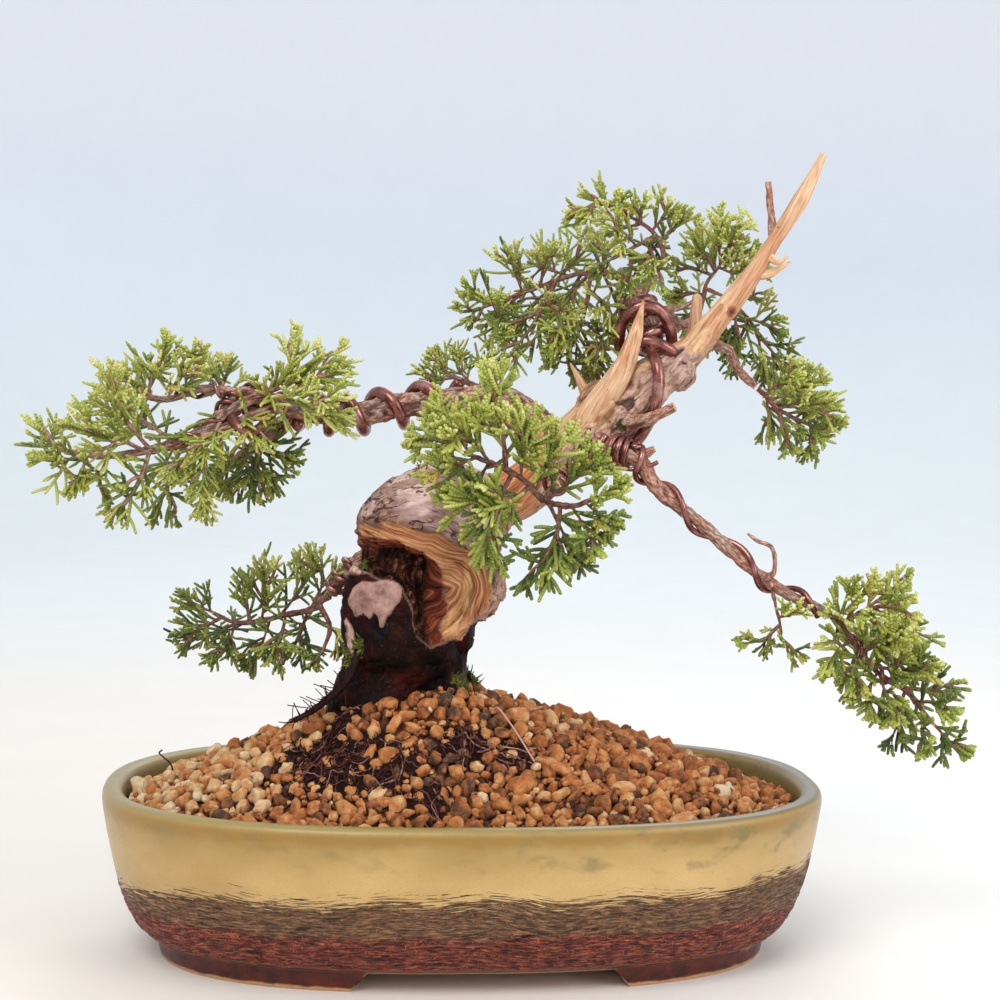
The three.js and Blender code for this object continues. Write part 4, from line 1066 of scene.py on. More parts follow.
def granule_shapes(random, sphere, middles, radii):
    """Angular lumps: a sphere for each granule, cut by planes, dented, stretched and turned."""
    count = len(middles)
    shapes = np.repeat(sphere[None], count, axis=0)
    for _ in range(9):
        towards = unit(random.normal(size=(count, 3)))[:, None]
        limit = random.uniform(0.5, 0.88, (count, 1, 1))
        over = np.maximum(0, np.sum(shapes * towards, axis=2, keepdims=True) - limit)
        shapes = shapes - towards * over * 0.85
    offsets = random.uniform(-50, 50, (count, 1, 3))
    swell = 1 + 0.4 * fbm(sphere[None] * 1.6 + offsets, 2, 60)
    swell = swell + 0.26 * fbm(sphere[None] * 3.6 + offsets, 2, 61)
    shapes = shapes * swell[..., None]
    ranges = ((1.0, 1.4), (0.85, 1.05), (0.7, 0.95))
    stretch = np.stack([random.uniform(*ends, count) for ends in ranges], axis=1)
    turns = random_turns(random, count)
    shapes = np.einsum("nij,nkj->nki", turns, shapes * stretch[:, None])
    return shapes * (radii[:, None, None] * 1.12) + middles[:, None], swell


def granules():
    """Separate granules over the whole bed, in pieces of a moderate size."""
    random = np.random.default_rng(3)
    middles, radii = granule_spots(random)
    count = len(middles)
    sphere, faces = ball(2)
    shapes, swell = granule_shapes(random, sphere, middles, radii)
    x = middles[:, 0]
    paler = smoothstep(-40, -95, x + 12 * noise(middles * 0.08, 62))
    tint = np.clip(random.normal(0.38, 0.17, count) + 0.26 * paler, 0.08, 1)
    tint = np.where(random.random(count) < 0.05, random.uniform(0, 0.1, count), tint)
    tint = np.where(random.random(count) < 0.05, random.uniform(0.7, 1, count), tint)
    finish = granule_material()
    groups = np.array_split(np.argsort(x), max(1, math.ceil(count * len(faces) / MOST_FACES)))
    size = len(sphere)
    for number, group in enumerate(groups):
        starts = (np.arange(len(group)) * size)[:, None, None]
        triangles = (faces[None] + starts).reshape(-1, 3)
        # Each point's bulge or dent, for the painted light and shade of the granules.
        values = {"tint": np.repeat(tint[group], size), "ridge": swell[group].ravel() - 1}
        mesh = mesh_from("granules", shapes[group].reshape(-1, 3), np.empty((0, 4), int), triangles, values)
        piece(f"soil_granules_{number + 1}", mesh, finish, ["soil"])


SIDE_ROOT = [
    (-36, -14, 101, 1.7), (-39, -18, 94, 1.5), (-44, -21, 88.5, 1.3), (-50, -24, 84, 1.1),
    (-57, -27, 80.5, 0.9),
]


def root_material():
    """Fine roots from nearly black to straw-coloured."""
    f = Finish("fine_roots", Roughness=0.8, Specular_IOR_Level=0.12)
    tint = f.plus(f.value("tint"), f.times(f.noise(f.place(), 0.6, 3.0), 0.3))
    colour = f.ramp(
        tint, (0.15, 28, 12, 12), (0.42, 56, 27, 23), (0.65, 106, 60, 50), (0.95, 196, 156, 140)
    )
    return f.finish(colour, f.range(tint, 0.2, 0.9, 0.6, 0.85), f.bump(tint, 0.1))


STRAY_ROOTS = [
    [(7.2, -21, 82.5), (9, -23.5, 84.2), (12, -27.5, 81), (15.4, -33, 76.4), (19.6, -41, 70)],
    [(-97, -3, 57), (-97.6, -5, 62), (-99.6, -6, 64.2), (-101.4, -6, 66), (-100.4, -6, 67)],
]


def crawling_roots(shell, random):
    """Thin roots that lie over the bare root ball, mostly running down and outwards."""
    tries, rows, sides = 5200, 13, 5
    x = random.uniform(-70, 45, tries)
    y = random.uniform(-66, 46, tries)
    chosen = random.random(tries) < 0.75 * bareness(x, y)
    x, y = x[chosen], y[chosen]
    count = len(x)
    heading = np.arctan2(y, x + 20) + random.normal(0, 0.9, count)
    turning = random.normal(0, 0.2, count)
    step = random.uniform(0.7, 1.6, count)
    paths = np.empty((count, rows, 3))
    offset = random.uniform(-0.5, 1.2, count)
    for i in range(rows):
        arch = 0.9 * math.sin(math.pi * i / (rows - 1)) * np.abs(np.sin(turning * 40))
        paths[:, i] = np.stack([x, y, bed_height(x, y) + offset + arch], axis=1)
        heading = heading + turning + random.normal(0, 0.34, count)
        x = x + step * np.cos(heading)
        y = y + step * np.sin(heading)
    thick = random.uniform(0.13, 0.38, count) ** 1.15
    radii = thick[:, None] * np.linspace(1, 0.5, rows)[None]
    tints = random.uniform(0.0, 0.75, count) ** 1.3
    shell.add(*tubes(paths, radii, sides), tint=spread(tints, rows, sides))


def side_root(shell, random):
    """A dark root that leaves the foot of the trunk on the left, with hairs at its end."""
    sides, hairs, rows = 14, 60, 6
    at = stations(SIDE_ROOT, step=0.6)
    count = len(at["place"])
    bumps = 0.22 * noise(at["place"] * 0.5, 52)[:, None] + 0.12 * random.normal(size=(count, sides))
    shell.add(*tubes(at["place"][None], (at["radius"][:, None] * (1 + bumps))[None], sides), tint=0.04)
    spot = np.minimum((count * random.uniform(0.35, 1.0, hairs)).astype(int), count - 1)
    lean = unit(np.array([-0.7, -0.3, 0.35]) + 0.7 * random.normal(size=(hairs, 3)))
    bend = 0.8 * random.normal(size=(hairs, 3)) + 0.1 * UP
    paths = arcs(at["place"][spot], lean, random.uniform(1.6, 4.2, hairs), bend, np.linspace(0, 1, rows))
    tints = random.uniform(0.0, 0.3, hairs)
    shell.add(*tubes(paths, np.full((hairs, rows), 0.17), 4), tint=spread(tints, rows, 4))


def fine_roots():
    """All the thin roots on the soil, and two stray pale ones."""
    random = np.random.default_rng(17)
    shell = Shell()
    crawling_roots(shell, random)
    rows, sides = 21, 6
    smooth = np.array([on_curve(path, np.linspace(0, 1, rows))[0] for path in STRAY_ROOTS])
    shell.add(*tubes(smooth, np.full((2, rows), 0.3), sides), tint=spread([0.9, 0.3], rows, sides))
    side_root(shell, random)
    piece("fine_roots", shell.mesh("fine_roots"), root_material())


# ---------- tree ----------
# Swellings of the trunk: middle, half sizes, tilt. The first two are the bulb's cap and the crown's lump.
LUMPS = [
    ((-11.5, -3, 141.5), (26.5, 25, 20.5), -0.32), ((48, 5, 180), (12.5, 9.5, 10), 0.75),
    ((-0.5, -3, 124.5), (13, 18, 16), -0.22), ((-21, -6, 105), (19, 18.5, 19.5), 0.0),
    ((-4, -4, 108), (7, 12, 9), -0.2), ((41, 0, 170), (7, 6.5, 8), 0.6), ((61, 2, 189), (8, 8.5, 8), 0.8),
    ((50, -4, 178), (5, 4.5, 5), 0.6), ((57, -3, 183.5), (4.5, 4.5, 4.5), 0.8),
    ((70, 1, 193), (6, 6.5, 6), 0.8),
]

# Outlines on the trunk's front, as (x, z).
BAND = [
    (-37.5, 143.2), (-29.1, 144.0), (-23.3, 144.1), (-19.8, 143.1), (-15.9, 141.9), (-11.7, 141.6),
    (-8.1, 139.0), (-5.5, 137.4), (-0.3, 134.8), (3.7, 132.9), (5.7, 129.3), (7.4, 125.4), (7.5, 120.7),
    (5.3, 114.8), (2.2, 109.6), (-2.5, 104.5), (-8.4, 105.9), (-7.8, 111.5), (-6.9, 117.0), (-7.0, 121.3),
    (-8.7, 127.2), (-12.0, 131.7), (-16.3, 135.0), (-23.1, 136.6), (-27.3, 139.1), (-36.5, 138.4),
]
# How many of its corners lie on its outer edge.
BAND_OUTER = 16
HOLLOW = [
    (-36.5, 138.4), (-27.3, 139.1), (-23.1, 136.6), (-16.3, 135.0), (-12.0, 131.7), (-8.7, 127.2),
    (-7.0, 121.3), (-6.9, 117.0), (-7.8, 111.5), (-8.4, 105.9), (-12, 104.5), (-16.5, 108), (-18.5, 116),
    (-21.5, 123.5), (-30, 127.5), (-36, 129.5),
]
MAROON = [
    (-22.2, 124), (-19, 118), (-16.5, 110), (-9.3, 106.5), (-3, 104.5), (3, 107.5), (9, 106), (14, 96),
    (16, 80), (-47, 80), (-47, 122), (-38, 125), (-33, 126), (-28, 126),
]
PATCH = [
    (-40, 119), (-38, 122.5), (-33, 125.4), (-28, 126), (-22.2, 123.2), (-23.2, 118.5), (-25.5, 115.2),
    (-27.5, 113.6), (-28.7, 109.8), (-30.0, 110.5), (-30.5, 114), (-31.6, 115), (-33.0, 113.2),
    (-35.3, 114.8), (-37.6, 113.6),
]
STRIP = [
    (-3.2, 130), (-0.4, 130.5), (1.0, 124), (0.2, 116), (-1.9, 111), (-3.0, 106), (-7.8, 106.2),
    (-6.2, 112), (-4.2, 119),
]
CREAM = [(-40.2, 112), (-38.8, 112), (-37.6, 106), (-35.6, 103), (-35.4, 99), (-38, 99.5), (-39.6, 104)]
CROWN_BARK = [
    (24, 140), (27.5, 163), (32.1, 168.1), (41, 174.6), (44.4, 174.9), (45.6, 178), (48.3, 181.3),
    (48.5, 184.3), (53.1, 189.7), (55.1, 192.1), (58.1, 195.8), (61, 199.5), (66, 203.5), (73.8, 201.6),
    (79.6, 202.7), (88, 205), (88, 190), (66, 168), (48, 154), (35, 144),
]
# The trunk's upper end as it looks under its bark: thinner than the solid, with a flat blade at its tip.
JIN_RADII = [6.2, 5.1, 3.8, 3.1, 2.6, 2.25, 2.6, 0.8]
JIN_LINE = [(*place, radius) for (*place, _), radius in zip(TRUNK_HIGH[-len(JIN_RADII):], JIN_RADII)]
JIN_LINE = TRUNK_HIGH[: -len(JIN_RADII)] + JIN_LINE
# Around this place on the front (x, z), the cap's bark and the band run in arcs.
RING_CENTRE = (-20, 112)


def from_edge(flat, start, end):
    """Distance of (x, z) places from a straight line between two corners."""
    edge = end - start
    share = np.clip((flat - start) @ edge / (edge @ edge), 0, 1)
    return np.linalg.norm(flat - start - share[:, None] * edge, axis=1)


def from_line(points, line):
    """Distance from an open (x, z) line."""
    flat = points[:, [0, 2]]
    corners = np.array(line, float)
    return np.min([from_edge(flat, *ends) for ends in zip(corners[:-1], corners[1:])], axis=0)


def inside(points, outline):
    """Distance into an (x, z) outline, less than 0 outside it."""
    x, z = points[:, 0], points[:, 2]
    corners = [*outline, outline[0]]
    nearest = from_line(points, corners)
    odd = np.zeros(len(points), bool)
    for (start_x, start_z), (end_x, end_z) in zip(corners[:-1], corners[1:]):
        crosses = (start_z > z) != (end_z > z)
        rise = end_z - start_z
        odd ^= crosses & (x < start_x + (z - start_z) / (rise if rise else 1e-9) * (end_x - start_x))
    return np.where(odd, nearest, -nearest)


def sideways(points, scale, seed):
    """Noise that moves points in x and z."""
    here = points * scale
    return np.stack([noise(here, seed), np.zeros(len(points)), noise(here, seed + 1)], axis=1)


def ring_places(points):
    """Places measured along and across the arcs round the ring's centre, and from front to back."""
    gap = points - np.array([RING_CENTRE[0], 0, RING_CENTRE[1]])
    turn = np.arctan2(gap[:, 2], gap[:, 0])
    return np.stack([32 * turn, np.hypot(gap[:, 2], gap[:, 0]), points[:, 1]], axis=1)


def ellipsoid(centre, half, tilt):
    """A smooth lump, tilted in the x-z plane."""
    points, triangles = ball(4)
    x, y, z = (points * half).T
    c, s = math.cos(tilt), math.sin(tilt)
    return np.stack([x * c + z * s, y, z * c - x * s], axis=1) + centre, np.empty((0, 4), int), triangles


def lobed(shares, radii, sides):
    """Radii that swell and sink round a limb, in lobes that turn along it."""
    angles = 2 * np.pi * np.arange(sides) / sides
    wide = 0.07 * np.sin(3 * angles + 5 * shares[:, None])
    narrow = 0.04 * np.sin(5 * angles - 7 * shares[:, None])
    return radii[:, None] * (1 + wide + narrow)


def swept(points, sides=28, step=2.0, end=1.0):
    """A closed limb along a line of (x, y, z, radius)."""
    at = stations(points, end=end, step=step)
    return tubes(at["place"][None], lobed(at["share"] / end, at["radius"], sides)[None], sides)


def local_places(points, curves, twist):
    """Places measured along and across the nearest of several limbs: (along, side, across)."""
    part_size, limb_gap = 20000, 500
    everything = []
    for number, curve in enumerate(curves):
        at = stations(curve, step=1.5)
        reach = reach_along(at["place"]) + limb_gap * number
        vectors = [at[name] for name in ("place", "along", "side", "across")]
        everything.append(np.column_stack([*vectors, at["radius"], reach]))
    rows = np.vstack(everything)
    found = np.empty(len(points), int)
    for low in range(0, len(points), part_size):
        part = points[low : low + part_size]
        away = np.linalg.norm(part[:, None] - rows[None, :, :3], axis=2) - 0.9 * rows[None, :, 12]
        found[low : low + part_size] = np.argmin(away, axis=1)
    place, along, side, across, _, reach = np.split(rows[found], [3, 6, 9, 12, 13], axis=1)
    gap = points - place
    u = np.sum(gap * along, axis=1) + reach[:, 0]
    v = np.sum(gap * side, axis=1)
    w = np.sum(gap * across, axis=1)
    c, s = np.cos(twist * u), np.sin(twist * u)
    return np.stack([u, v * c - w * s, v * s + w * c], axis=1)


def terraces(value, levels):
    """A value broken into flat steps with short slopes between them."""
    scaled = value * levels
    whole = np.floor(scaled)
    return (whole + smoothstep(0.65, 1.0, scaled - whole)) / levels


def bark_relief(grain, seed, size=1.0):
    """Flaking plates, longer along the limb, with cracks between them."""
    plates = terraces(fbm(grain * [0.09, 0.3, 0.3] / size, 3, seed), 6)
    cracks = smoothstep(0.1, 0.0, np.abs(noise(grain * [0.07, 0.26, 0.26] / size, seed + 5)))
    return 3.0 * size * plates - 0.8 * size * cracks


def cap_relief(ring):
    """Smoother bark with a few long cracks and lifted plates that follow the arc of the cap."""
    plates = terraces(fbm(ring * [0.04, 0.17, 0.12], 3, 140), 5)
    long_cracks = smoothstep(0.2, 0.32, fbm(ring * [0.05, 0.5, 0.16], 3, 141))
    torn = smoothstep(-0.1, 0.35, noise(ring * [0.05, 0.09, 0.07], 142))
    return 1.5 * plates - 1.5 * long_cracks * torn + 0.35 * fbm(ring * [0.2, 0.6, 0.5], 2, 143)


def wood_relief(grain, seed, size=1.0):
    """Weathered grain: flutes, fibres and drying cracks along the limb."""
    flutes = fbm(grain * [0.02, 0.24, 0.24] / size, 2, seed)
    fibres = fbm(grain * [0.05, 1.0, 1.0] / size, 2, seed + 3)
    cracks = smoothstep(0.07, 0.0, np.abs(noise(grain * [0.03, 0.42, 0.42] / size, seed + 6)))
    return size * (1.5 * flutes + 0.35 * fibres - 0.5 * cracks)


def mossy(f, colour, share):
    """The colour under moss, which is ragged where its share is about a half."""
    tuft = f.noise(f.place(), 1.1, 4.0, 0.7)
    green = f.ramp(tuft, (0.3, 36, 32, 16), (0.5, 72, 74, 26), (0.7, 112, 112, 46))
    return f.mix(f.range(f.varied(share, tuft, 0.9), 0.4, 0.6), colour, green)


def bark_colour(f, grain):
    """Flaking bark, pinkish and lilac by turns, and the noise of its flakes."""
    broad = f.noise(f.place(), 0.07, 3.0)
    flaky = f.noise(grain, (0.22, 0.95, 0.95), 5.0, 0.72)
    base = f.ramp(
        flaky, (0.3, 84, 52, 40), (0.42, 158, 114, 94), (0.54, 206, 166, 146), (0.7, 232, 202, 182)
    )
    lilac = f.ramp(flaky, (0.32, 104, 76, 64), (0.5, 180, 146, 130), (0.68, 216, 188, 172))
    return f.mix(f.range(broad, 0.42, 0.58), base, lilac), flaky


def wood_colour(f, grain):
    """Bleached wood with warm streaks and dark specks, and the noise of its fibres."""
    fibres = f.noise(grain, (0.05, 1.3, 1.3), 5.0, 0.6, 0.3)
    broad = f.noise(grain, (0.03, 0.16, 0.16), 2.0)
    pale = f.ramp(
        fibres, (0.3, 178, 122, 88), (0.44, 206, 160, 122), (0.56, 222, 184, 146), (0.72, 232, 204, 172),
    )
    warm = f.ramp(fibres, (0.3, 140, 84, 56), (0.5, 190, 130, 90), (0.7, 216, 168, 126))
    colour = f.mix(f.range(broad, 0.46, 0.66, 0.0, 0.85), pale, warm)
    specks = f.noise(grain, (0.6, 1.0, 1.0), 2.0, 0.5)
    return f.mix(f.range(specks, 0.7, 0.76, 0.0, 0.8), colour, (104, 62, 42)), fibres


def cap_colour(f, ring, here, edge):
    """Pinkish grey bark, lilac near its lower edge, with brown under lifted plates, painted shadow along
    their edges and painted shade in thin cracks; and its finest noise.
    """
    soft = f.noise(ring, (0.05, 0.22, 0.12), 4.0, 0.6, 0.5)
    fine = f.noise(ring, (0.35, 1.2, 0.9), 4.0, 0.7)
    cap = f.ramp(
        soft, (0.32, 150, 110, 98), (0.45, 200, 162, 150), (0.57, 224, 192, 180), (0.7, 238, 214, 204),
    )
    lilac = f.ramp(soft, (0.34, 116, 84, 80), (0.5, 166, 134, 130), (0.66, 204, 178, 174))
    near_edge = f.times(f.range(edge, -11.0, -4.0), f.range(f.noise(here, 0.1, 2.0), 0.36, 0.56))
    cap = f.mix(near_edge, cap, lilac)
    cap = f.mix(f.range(fine, 0.5, 0.66, 0.0, 0.5), cap, (136, 98, 84))
    cap = f.mix(f.range(edge, -3.0, -0.4, 0.0, 0.75), cap, (98, 60, 46))
    cap = f.mix(f.range(f.separate(here)[0], -2.0, 6.0, 0.0, 0.4), cap, (112, 80, 64))
    plate = f.value("plate")
    flakes = f.ramp(fine, (0.34, 96, 66, 50), (0.5, 150, 114, 94), (0.66, 200, 166, 146))
    cap = f.mix(f.range(plate, 0.05, 0.08, 0.0, 0.75), cap, flakes)
    # Painted shadow: dark lines along the edges of lifted plates.
    rim = f.times(f.range(plate, 0.01, 0.035), f.range(plate, 0.09, 0.06))
    rim = f.times(rim, f.range(f.noise(here, 0.22, 3.0), 0.42, 0.56))
    cap = f.mix(f.times(rim, 0.85), cap, (58, 36, 28))
    # Painted shade: thin dark cracks along the arcs.
    crack = f.range(f.noise(ring, (0.09, 0.95, 0.3), 4.0, 0.62, 0.5), 0.56, 0.61)
    crack = f.times(crack, f.range(f.noise(here, 0.09, 2.0), 0.34, 0.46))
    return f.mix(f.times(crack, 0.85), cap, (56, 36, 30)), fine


def band_colour(f, layers, here, edge):
    """Layered wood of the cut band, dark deep inside and along its outer edge on the right."""
    band = f.ramp(
        layers,
        (0.31, 62, 28, 18), (0.4, 138, 82, 54), (0.5, 182, 124, 84), (0.59, 212, 162, 118),
        (0.7, 236, 200, 160),
    )
    band = f.mix(f.range(edge, 3.5, 7.5, 0.0, 0.75), band, (94, 40, 24))
    outer = f.times(f.range(edge, 3.4, 1.0), f.range(f.separate(here)[0], -4.0, 4.0))
    return f.mix(f.times(outer, 0.75), band, (104, 50, 30))


def base_colour(f, here):
    """Nearly black and maroon bark with pale specks and scales; and the noise of its blotches."""
    blotch = f.noise(here, 0.11, 4.0, 0.62, 0.3)
    base = f.ramp(
        blotch, (0.32, 5, 3, 3), (0.46, 20, 8, 6), (0.57, 42, 14, 10), (0.68, 74, 24, 18), (0.8, 88, 50, 38)
    )
    base = f.mix(f.range(f.noise(here, 1.1, 3.0, 0.7), 0.64, 0.7, 0.0, 0.6), base, (132, 96, 72))
    return f.mix(f.range(f.cell_edges(here, (0.3, 0.3, 0.5)), 0.07, 0.0, 0.0, 0.7), base, (4, 2, 2)), blotch


def hollow_colour(f, layers, knobs, edge):
    """Dark knobbly wood, red-brown next to the cut band."""
    hollow = f.ramp(knobs, (0.38, 8, 4, 3), (0.52, 38, 18, 12), (0.62, 84, 48, 33), (0.74, 150, 110, 86))
    red_brown = f.ramp(layers, (0.34, 44, 16, 12), (0.5, 102, 46, 30), (0.66, 160, 96, 64))
    return f.mix(f.range(edge, -6.5, -2.4), hollow, red_brown)


def trunk_material():
    """The trunk's bark and wood, with each mark of its front laid over them."""
    f = Finish("trunk_wood", Specular_IOR_Level=0.08)
    grain = f.vector("grain")
    here = f.place()
    edge = f.value("edge")
    dead = f.value("dead")
    bark, flaky = bark_colour(f, grain)
    wood, fibres = wood_colour(f, grain)
    cap, fine = cap_colour(f, f.vector("ring"), here, edge)
    colour = f.mix(dead, f.mix(f.value("cap"), bark, cap), wood)
    warm_wood = f.ramp(
        fibres, (0.3, 134, 72, 44), (0.46, 186, 118, 78), (0.6, 214, 152, 108), (0.75, 226, 178, 138),
    )
    layers = f.noise(f.vector("layer"), (0.03, 1.1, 0.1), 5.0, 0.7, 0.2)
    strip = f.ramp(
        layers, (0.36, 104, 58, 34), (0.46, 180, 126, 82), (0.6, 220, 174, 126), (0.7, 238, 202, 158),
    )
    base, blotch = base_colour(f, here)
    knobs = f.noise(here, (0.42, 0.42, 0.26), 4.0, 0.6, 0.4)
    soft = f.noise(here, 0.22, 4.0, 0.6)
    for name, marked in (
        ("neck", warm_wood),
        ("band", band_colour(f, layers, here, edge)),
        ("strip", strip),
        ("maroon", base),
        ("hollow", hollow_colour(f, layers, knobs, edge)),
        ("patch", f.ramp(soft, (0.34, 128, 92, 82), (0.5, 166, 130, 118), (0.68, 192, 158, 146))),
        ("cream", f.ramp(fine, (0.35, 170, 128, 114), (0.65, 214, 178, 164))),
    ):
        colour = f.mix(f.value(name), colour, marked)
    # Painted shade: the bark and wood darken in their cracks and furrows.
    colour = f.mix(f.range(f.value("relief"), -0.3, -1.1, 0.0, 0.85), colour, (44, 28, 24))
    foot = f.ramp(knobs, (0.35, 10, 6, 5), (0.55, 32, 18, 14), (0.72, 78, 48, 38))
    colour = f.mix(f.value("foot"), colour, foot)
    colour = mossy(f, colour, f.value("moss"))

    wet = f.value("maroon")
    roughness = f.between(wet, f.range(flaky, 0.3, 0.7, 0.65, 0.88), f.range(blotch, 0.3, 0.6, 0.4, 0.66))
    height = f.between(dead, flaky, fibres)
    for name, finer in (("cap", fine), ("band", layers), ("hollow", knobs)):
        height = f.between(f.value(name), height, finer)
    return f.finish(colour, roughness, f.bump(height, 0.6, f.between(wet, 0.9, 0.4)))


# Where moss grows on the trunk, and rusty dry moss on its cap: middle, radius.
MOSS_SPOTS = [
    (-33, -14, 129, 3.6), (-32.5, -14, 125.5, 3), (-28, -17, 124.3, 2.2), (-24, -18, 123.7, 2),
    (-40, -10, 99, 4.5), (-38, -15, 100, 4), (-36, -17, 102, 3), (-4, -11, 92, 5), (0, -11, 88.5, 7),
    (4.5, -11, 86, 7.5), (8, -11, 83.5, 7), (12, -10, 82, 6), (50, -8, 173, 3), (-24, 18, 84, 9),
    (-30, 14, 121, 5), (2, 12, 88, 7),
]
RUSTY_SPOTS = [(-14, -6, 159, 6), (-8, -12, 157, 4.5), (3, -14, 153, 3.5)]
# Where plates of the cap's bark have lifted, and how far the cap itself reaches.
LIFTED_SPOTS = [(-7, -15, 149, 15), (2, -14, 138, 11)]
CAP_SPOT = [(-11.5, -3, 143, 33)]


def spots(points, places):
    """1 near the middle of any of the places, 0 outside all of them."""
    most = np.zeros(len(points))
    for *middle, radius in places:
        away = np.linalg.norm(points - middle, axis=1) / radius
        most = np.maximum(most, smoothstep(1.2, 0.3, away))
    return most


def trunk_skin():
    """The trunk, its swellings, roots and limb ends, grown together under one smooth skin."""
    shell = Shell()
    shell.add(*swept(TRUNK_LOW))
    shell.add(*swept(JIN_LINE, end=0.72))
    for root in ROOTS:
        shell.add(*swept(root, sides=20, step=1.5))
    for lump in LUMPS:
        shell.add(*ellipsoid(*lump))
    for name in ("left", "right", "low", "apex", "right_back", "front", "behind"):
        shell.add(*swept(LIMBS[name], sides=16, step=1.5, end=0.16))
    voxel = 0.62
    grow = ("REMESH", {"mode": "VOXEL", "voxel_size": voxel * METRES})
    smooth = ("SMOOTH", {"factor": 0.5, "iterations": 9})
    return with_modifiers("trunk_work", shell.mesh("trunk_work"), grow, smooth)


def front_marks(points):
    """How much each point belongs to each mark of the trunk's front; and its depth into the hollow."""
    front = smoothstep(3, -5, points[:, 1])
    wavy = points + sideways(points, 0.25, 70)
    band_depth = inside(wavy, BAND)
    hollow_depth = inside(wavy, HOLLOW)
    band = smoothstep(-0.25, 0.35, band_depth) * front
    hollow = smoothstep(-1.6, -0.8, hollow_depth) * front * (1 - band)
    patch = smoothstep(-0.1, 0.4, inside(wavy, PATCH)) * front
    around = smoothstep(8, 5, points[:, 1] + 9 * fbm(points * 0.11, 3, 96))
    maroon = smoothstep(-2.4, -1.2, inside(wavy, MAROON)) * around * (1 - band) * (1 - patch) * (1 - hollow)
    foot = smoothstep(101, 92, points[:, 2] + 4 * noise(points * 0.2, 74))
    foot = foot * (points[:, 2] < 112) * (1 - maroon)
    marks = {
        "edge": band_depth, "band": band, "hollow": hollow, "patch": patch, "maroon": maroon, "foot": foot,
        "strip": smoothstep(-0.2, 0.8, inside(wavy, STRIP)) * front,
        "cream": smoothstep(-0.2, 0.5, inside(wavy, CREAM)) * front,
    }
    return marks, hollow_depth


def bare_wood(points, normals, grain, torn):
    """1 where the trunk has lost its bark; and the same for the neck, where the bare wood is warm."""
    upper = smoothstep(2, 14, points[:, 0]) * smoothstep(140, 150, points[:, 2])
    upper = np.maximum(upper, smoothstep(14, 26, points[:, 0]))
    facing = normals @ np.array([-0.5, -0.45, 0.72])
    ragged = 0.5 * fbm(grain * [0.06, 0.2, 0.2], 3, 72)
    behind = smoothstep(-0.12, 0.1, facing + ragged + 0.25 * smoothstep(44, 18, points[:, 0])) * upper
    before = smoothstep(0.6, -0.6, inside(torn, CROWN_BARK)) * upper
    dead = lerp(behind, before, smoothstep(9, 3, points[:, 1]))
    dead = np.maximum(dead, smoothstep(80, 88, points[:, 0] + 14 * ragged + 5 * facing))
    neck = smoothstep(30, 22, points[:, 0]) * dead * smoothstep(-2, 3, points[:, 0] + points[:, 2] * 0.1 - 14)
    return dead, neck


def trunk_lift(points, marks, hollow_depth, bark, wood):
    """How far each point of the trunk's skin is raised."""
    dead = marks["dead"]
    crown = smoothstep(28, 38, points[:, 0]) * (1 - dead)
    lift = lerp(0.75 * bark, wood, dead) + 1.3 * fbm(points * 0.07, 2, 87)
    lift = lift + 0.8 * crown * fbm(points * 0.24, 2, 92)
    layered = -1.4 + 1.6 * fbm(marks["layer"] * [0.03, 0.45, 0.1], 3, 88) - 0.16 * marks["edge"]
    lift = lerp(lift, layered, marks["band"])
    scaly = -0.7 * smoothstep(0.09, 0.0, np.abs(noise(points * [0.16, 0.16, 0.3], 94)))
    rough = 0.9 * fbm(points * 0.14, 4, 89) + 0.35 * fbm(points * 0.5, 2, 93) + scaly
    lift = lerp(lift, rough, marks["maroon"])
    lift = lerp(lift, 0.75 + 0.3 * fbm(points * 0.3, 2, 90), marks["patch"])
    knobs = 4.6 * fbm(points * 0.2, 4, 86)
    lift = lerp(lift, knobs - 1.6 - 6.0 * smoothstep(0.8, 6.0, hollow_depth), marks["hollow"])
    return lerp(lift, -0.8 + 0.5 * fbm(points * [0.9, 0.9, 0.15], 2, 91), marks["strip"])


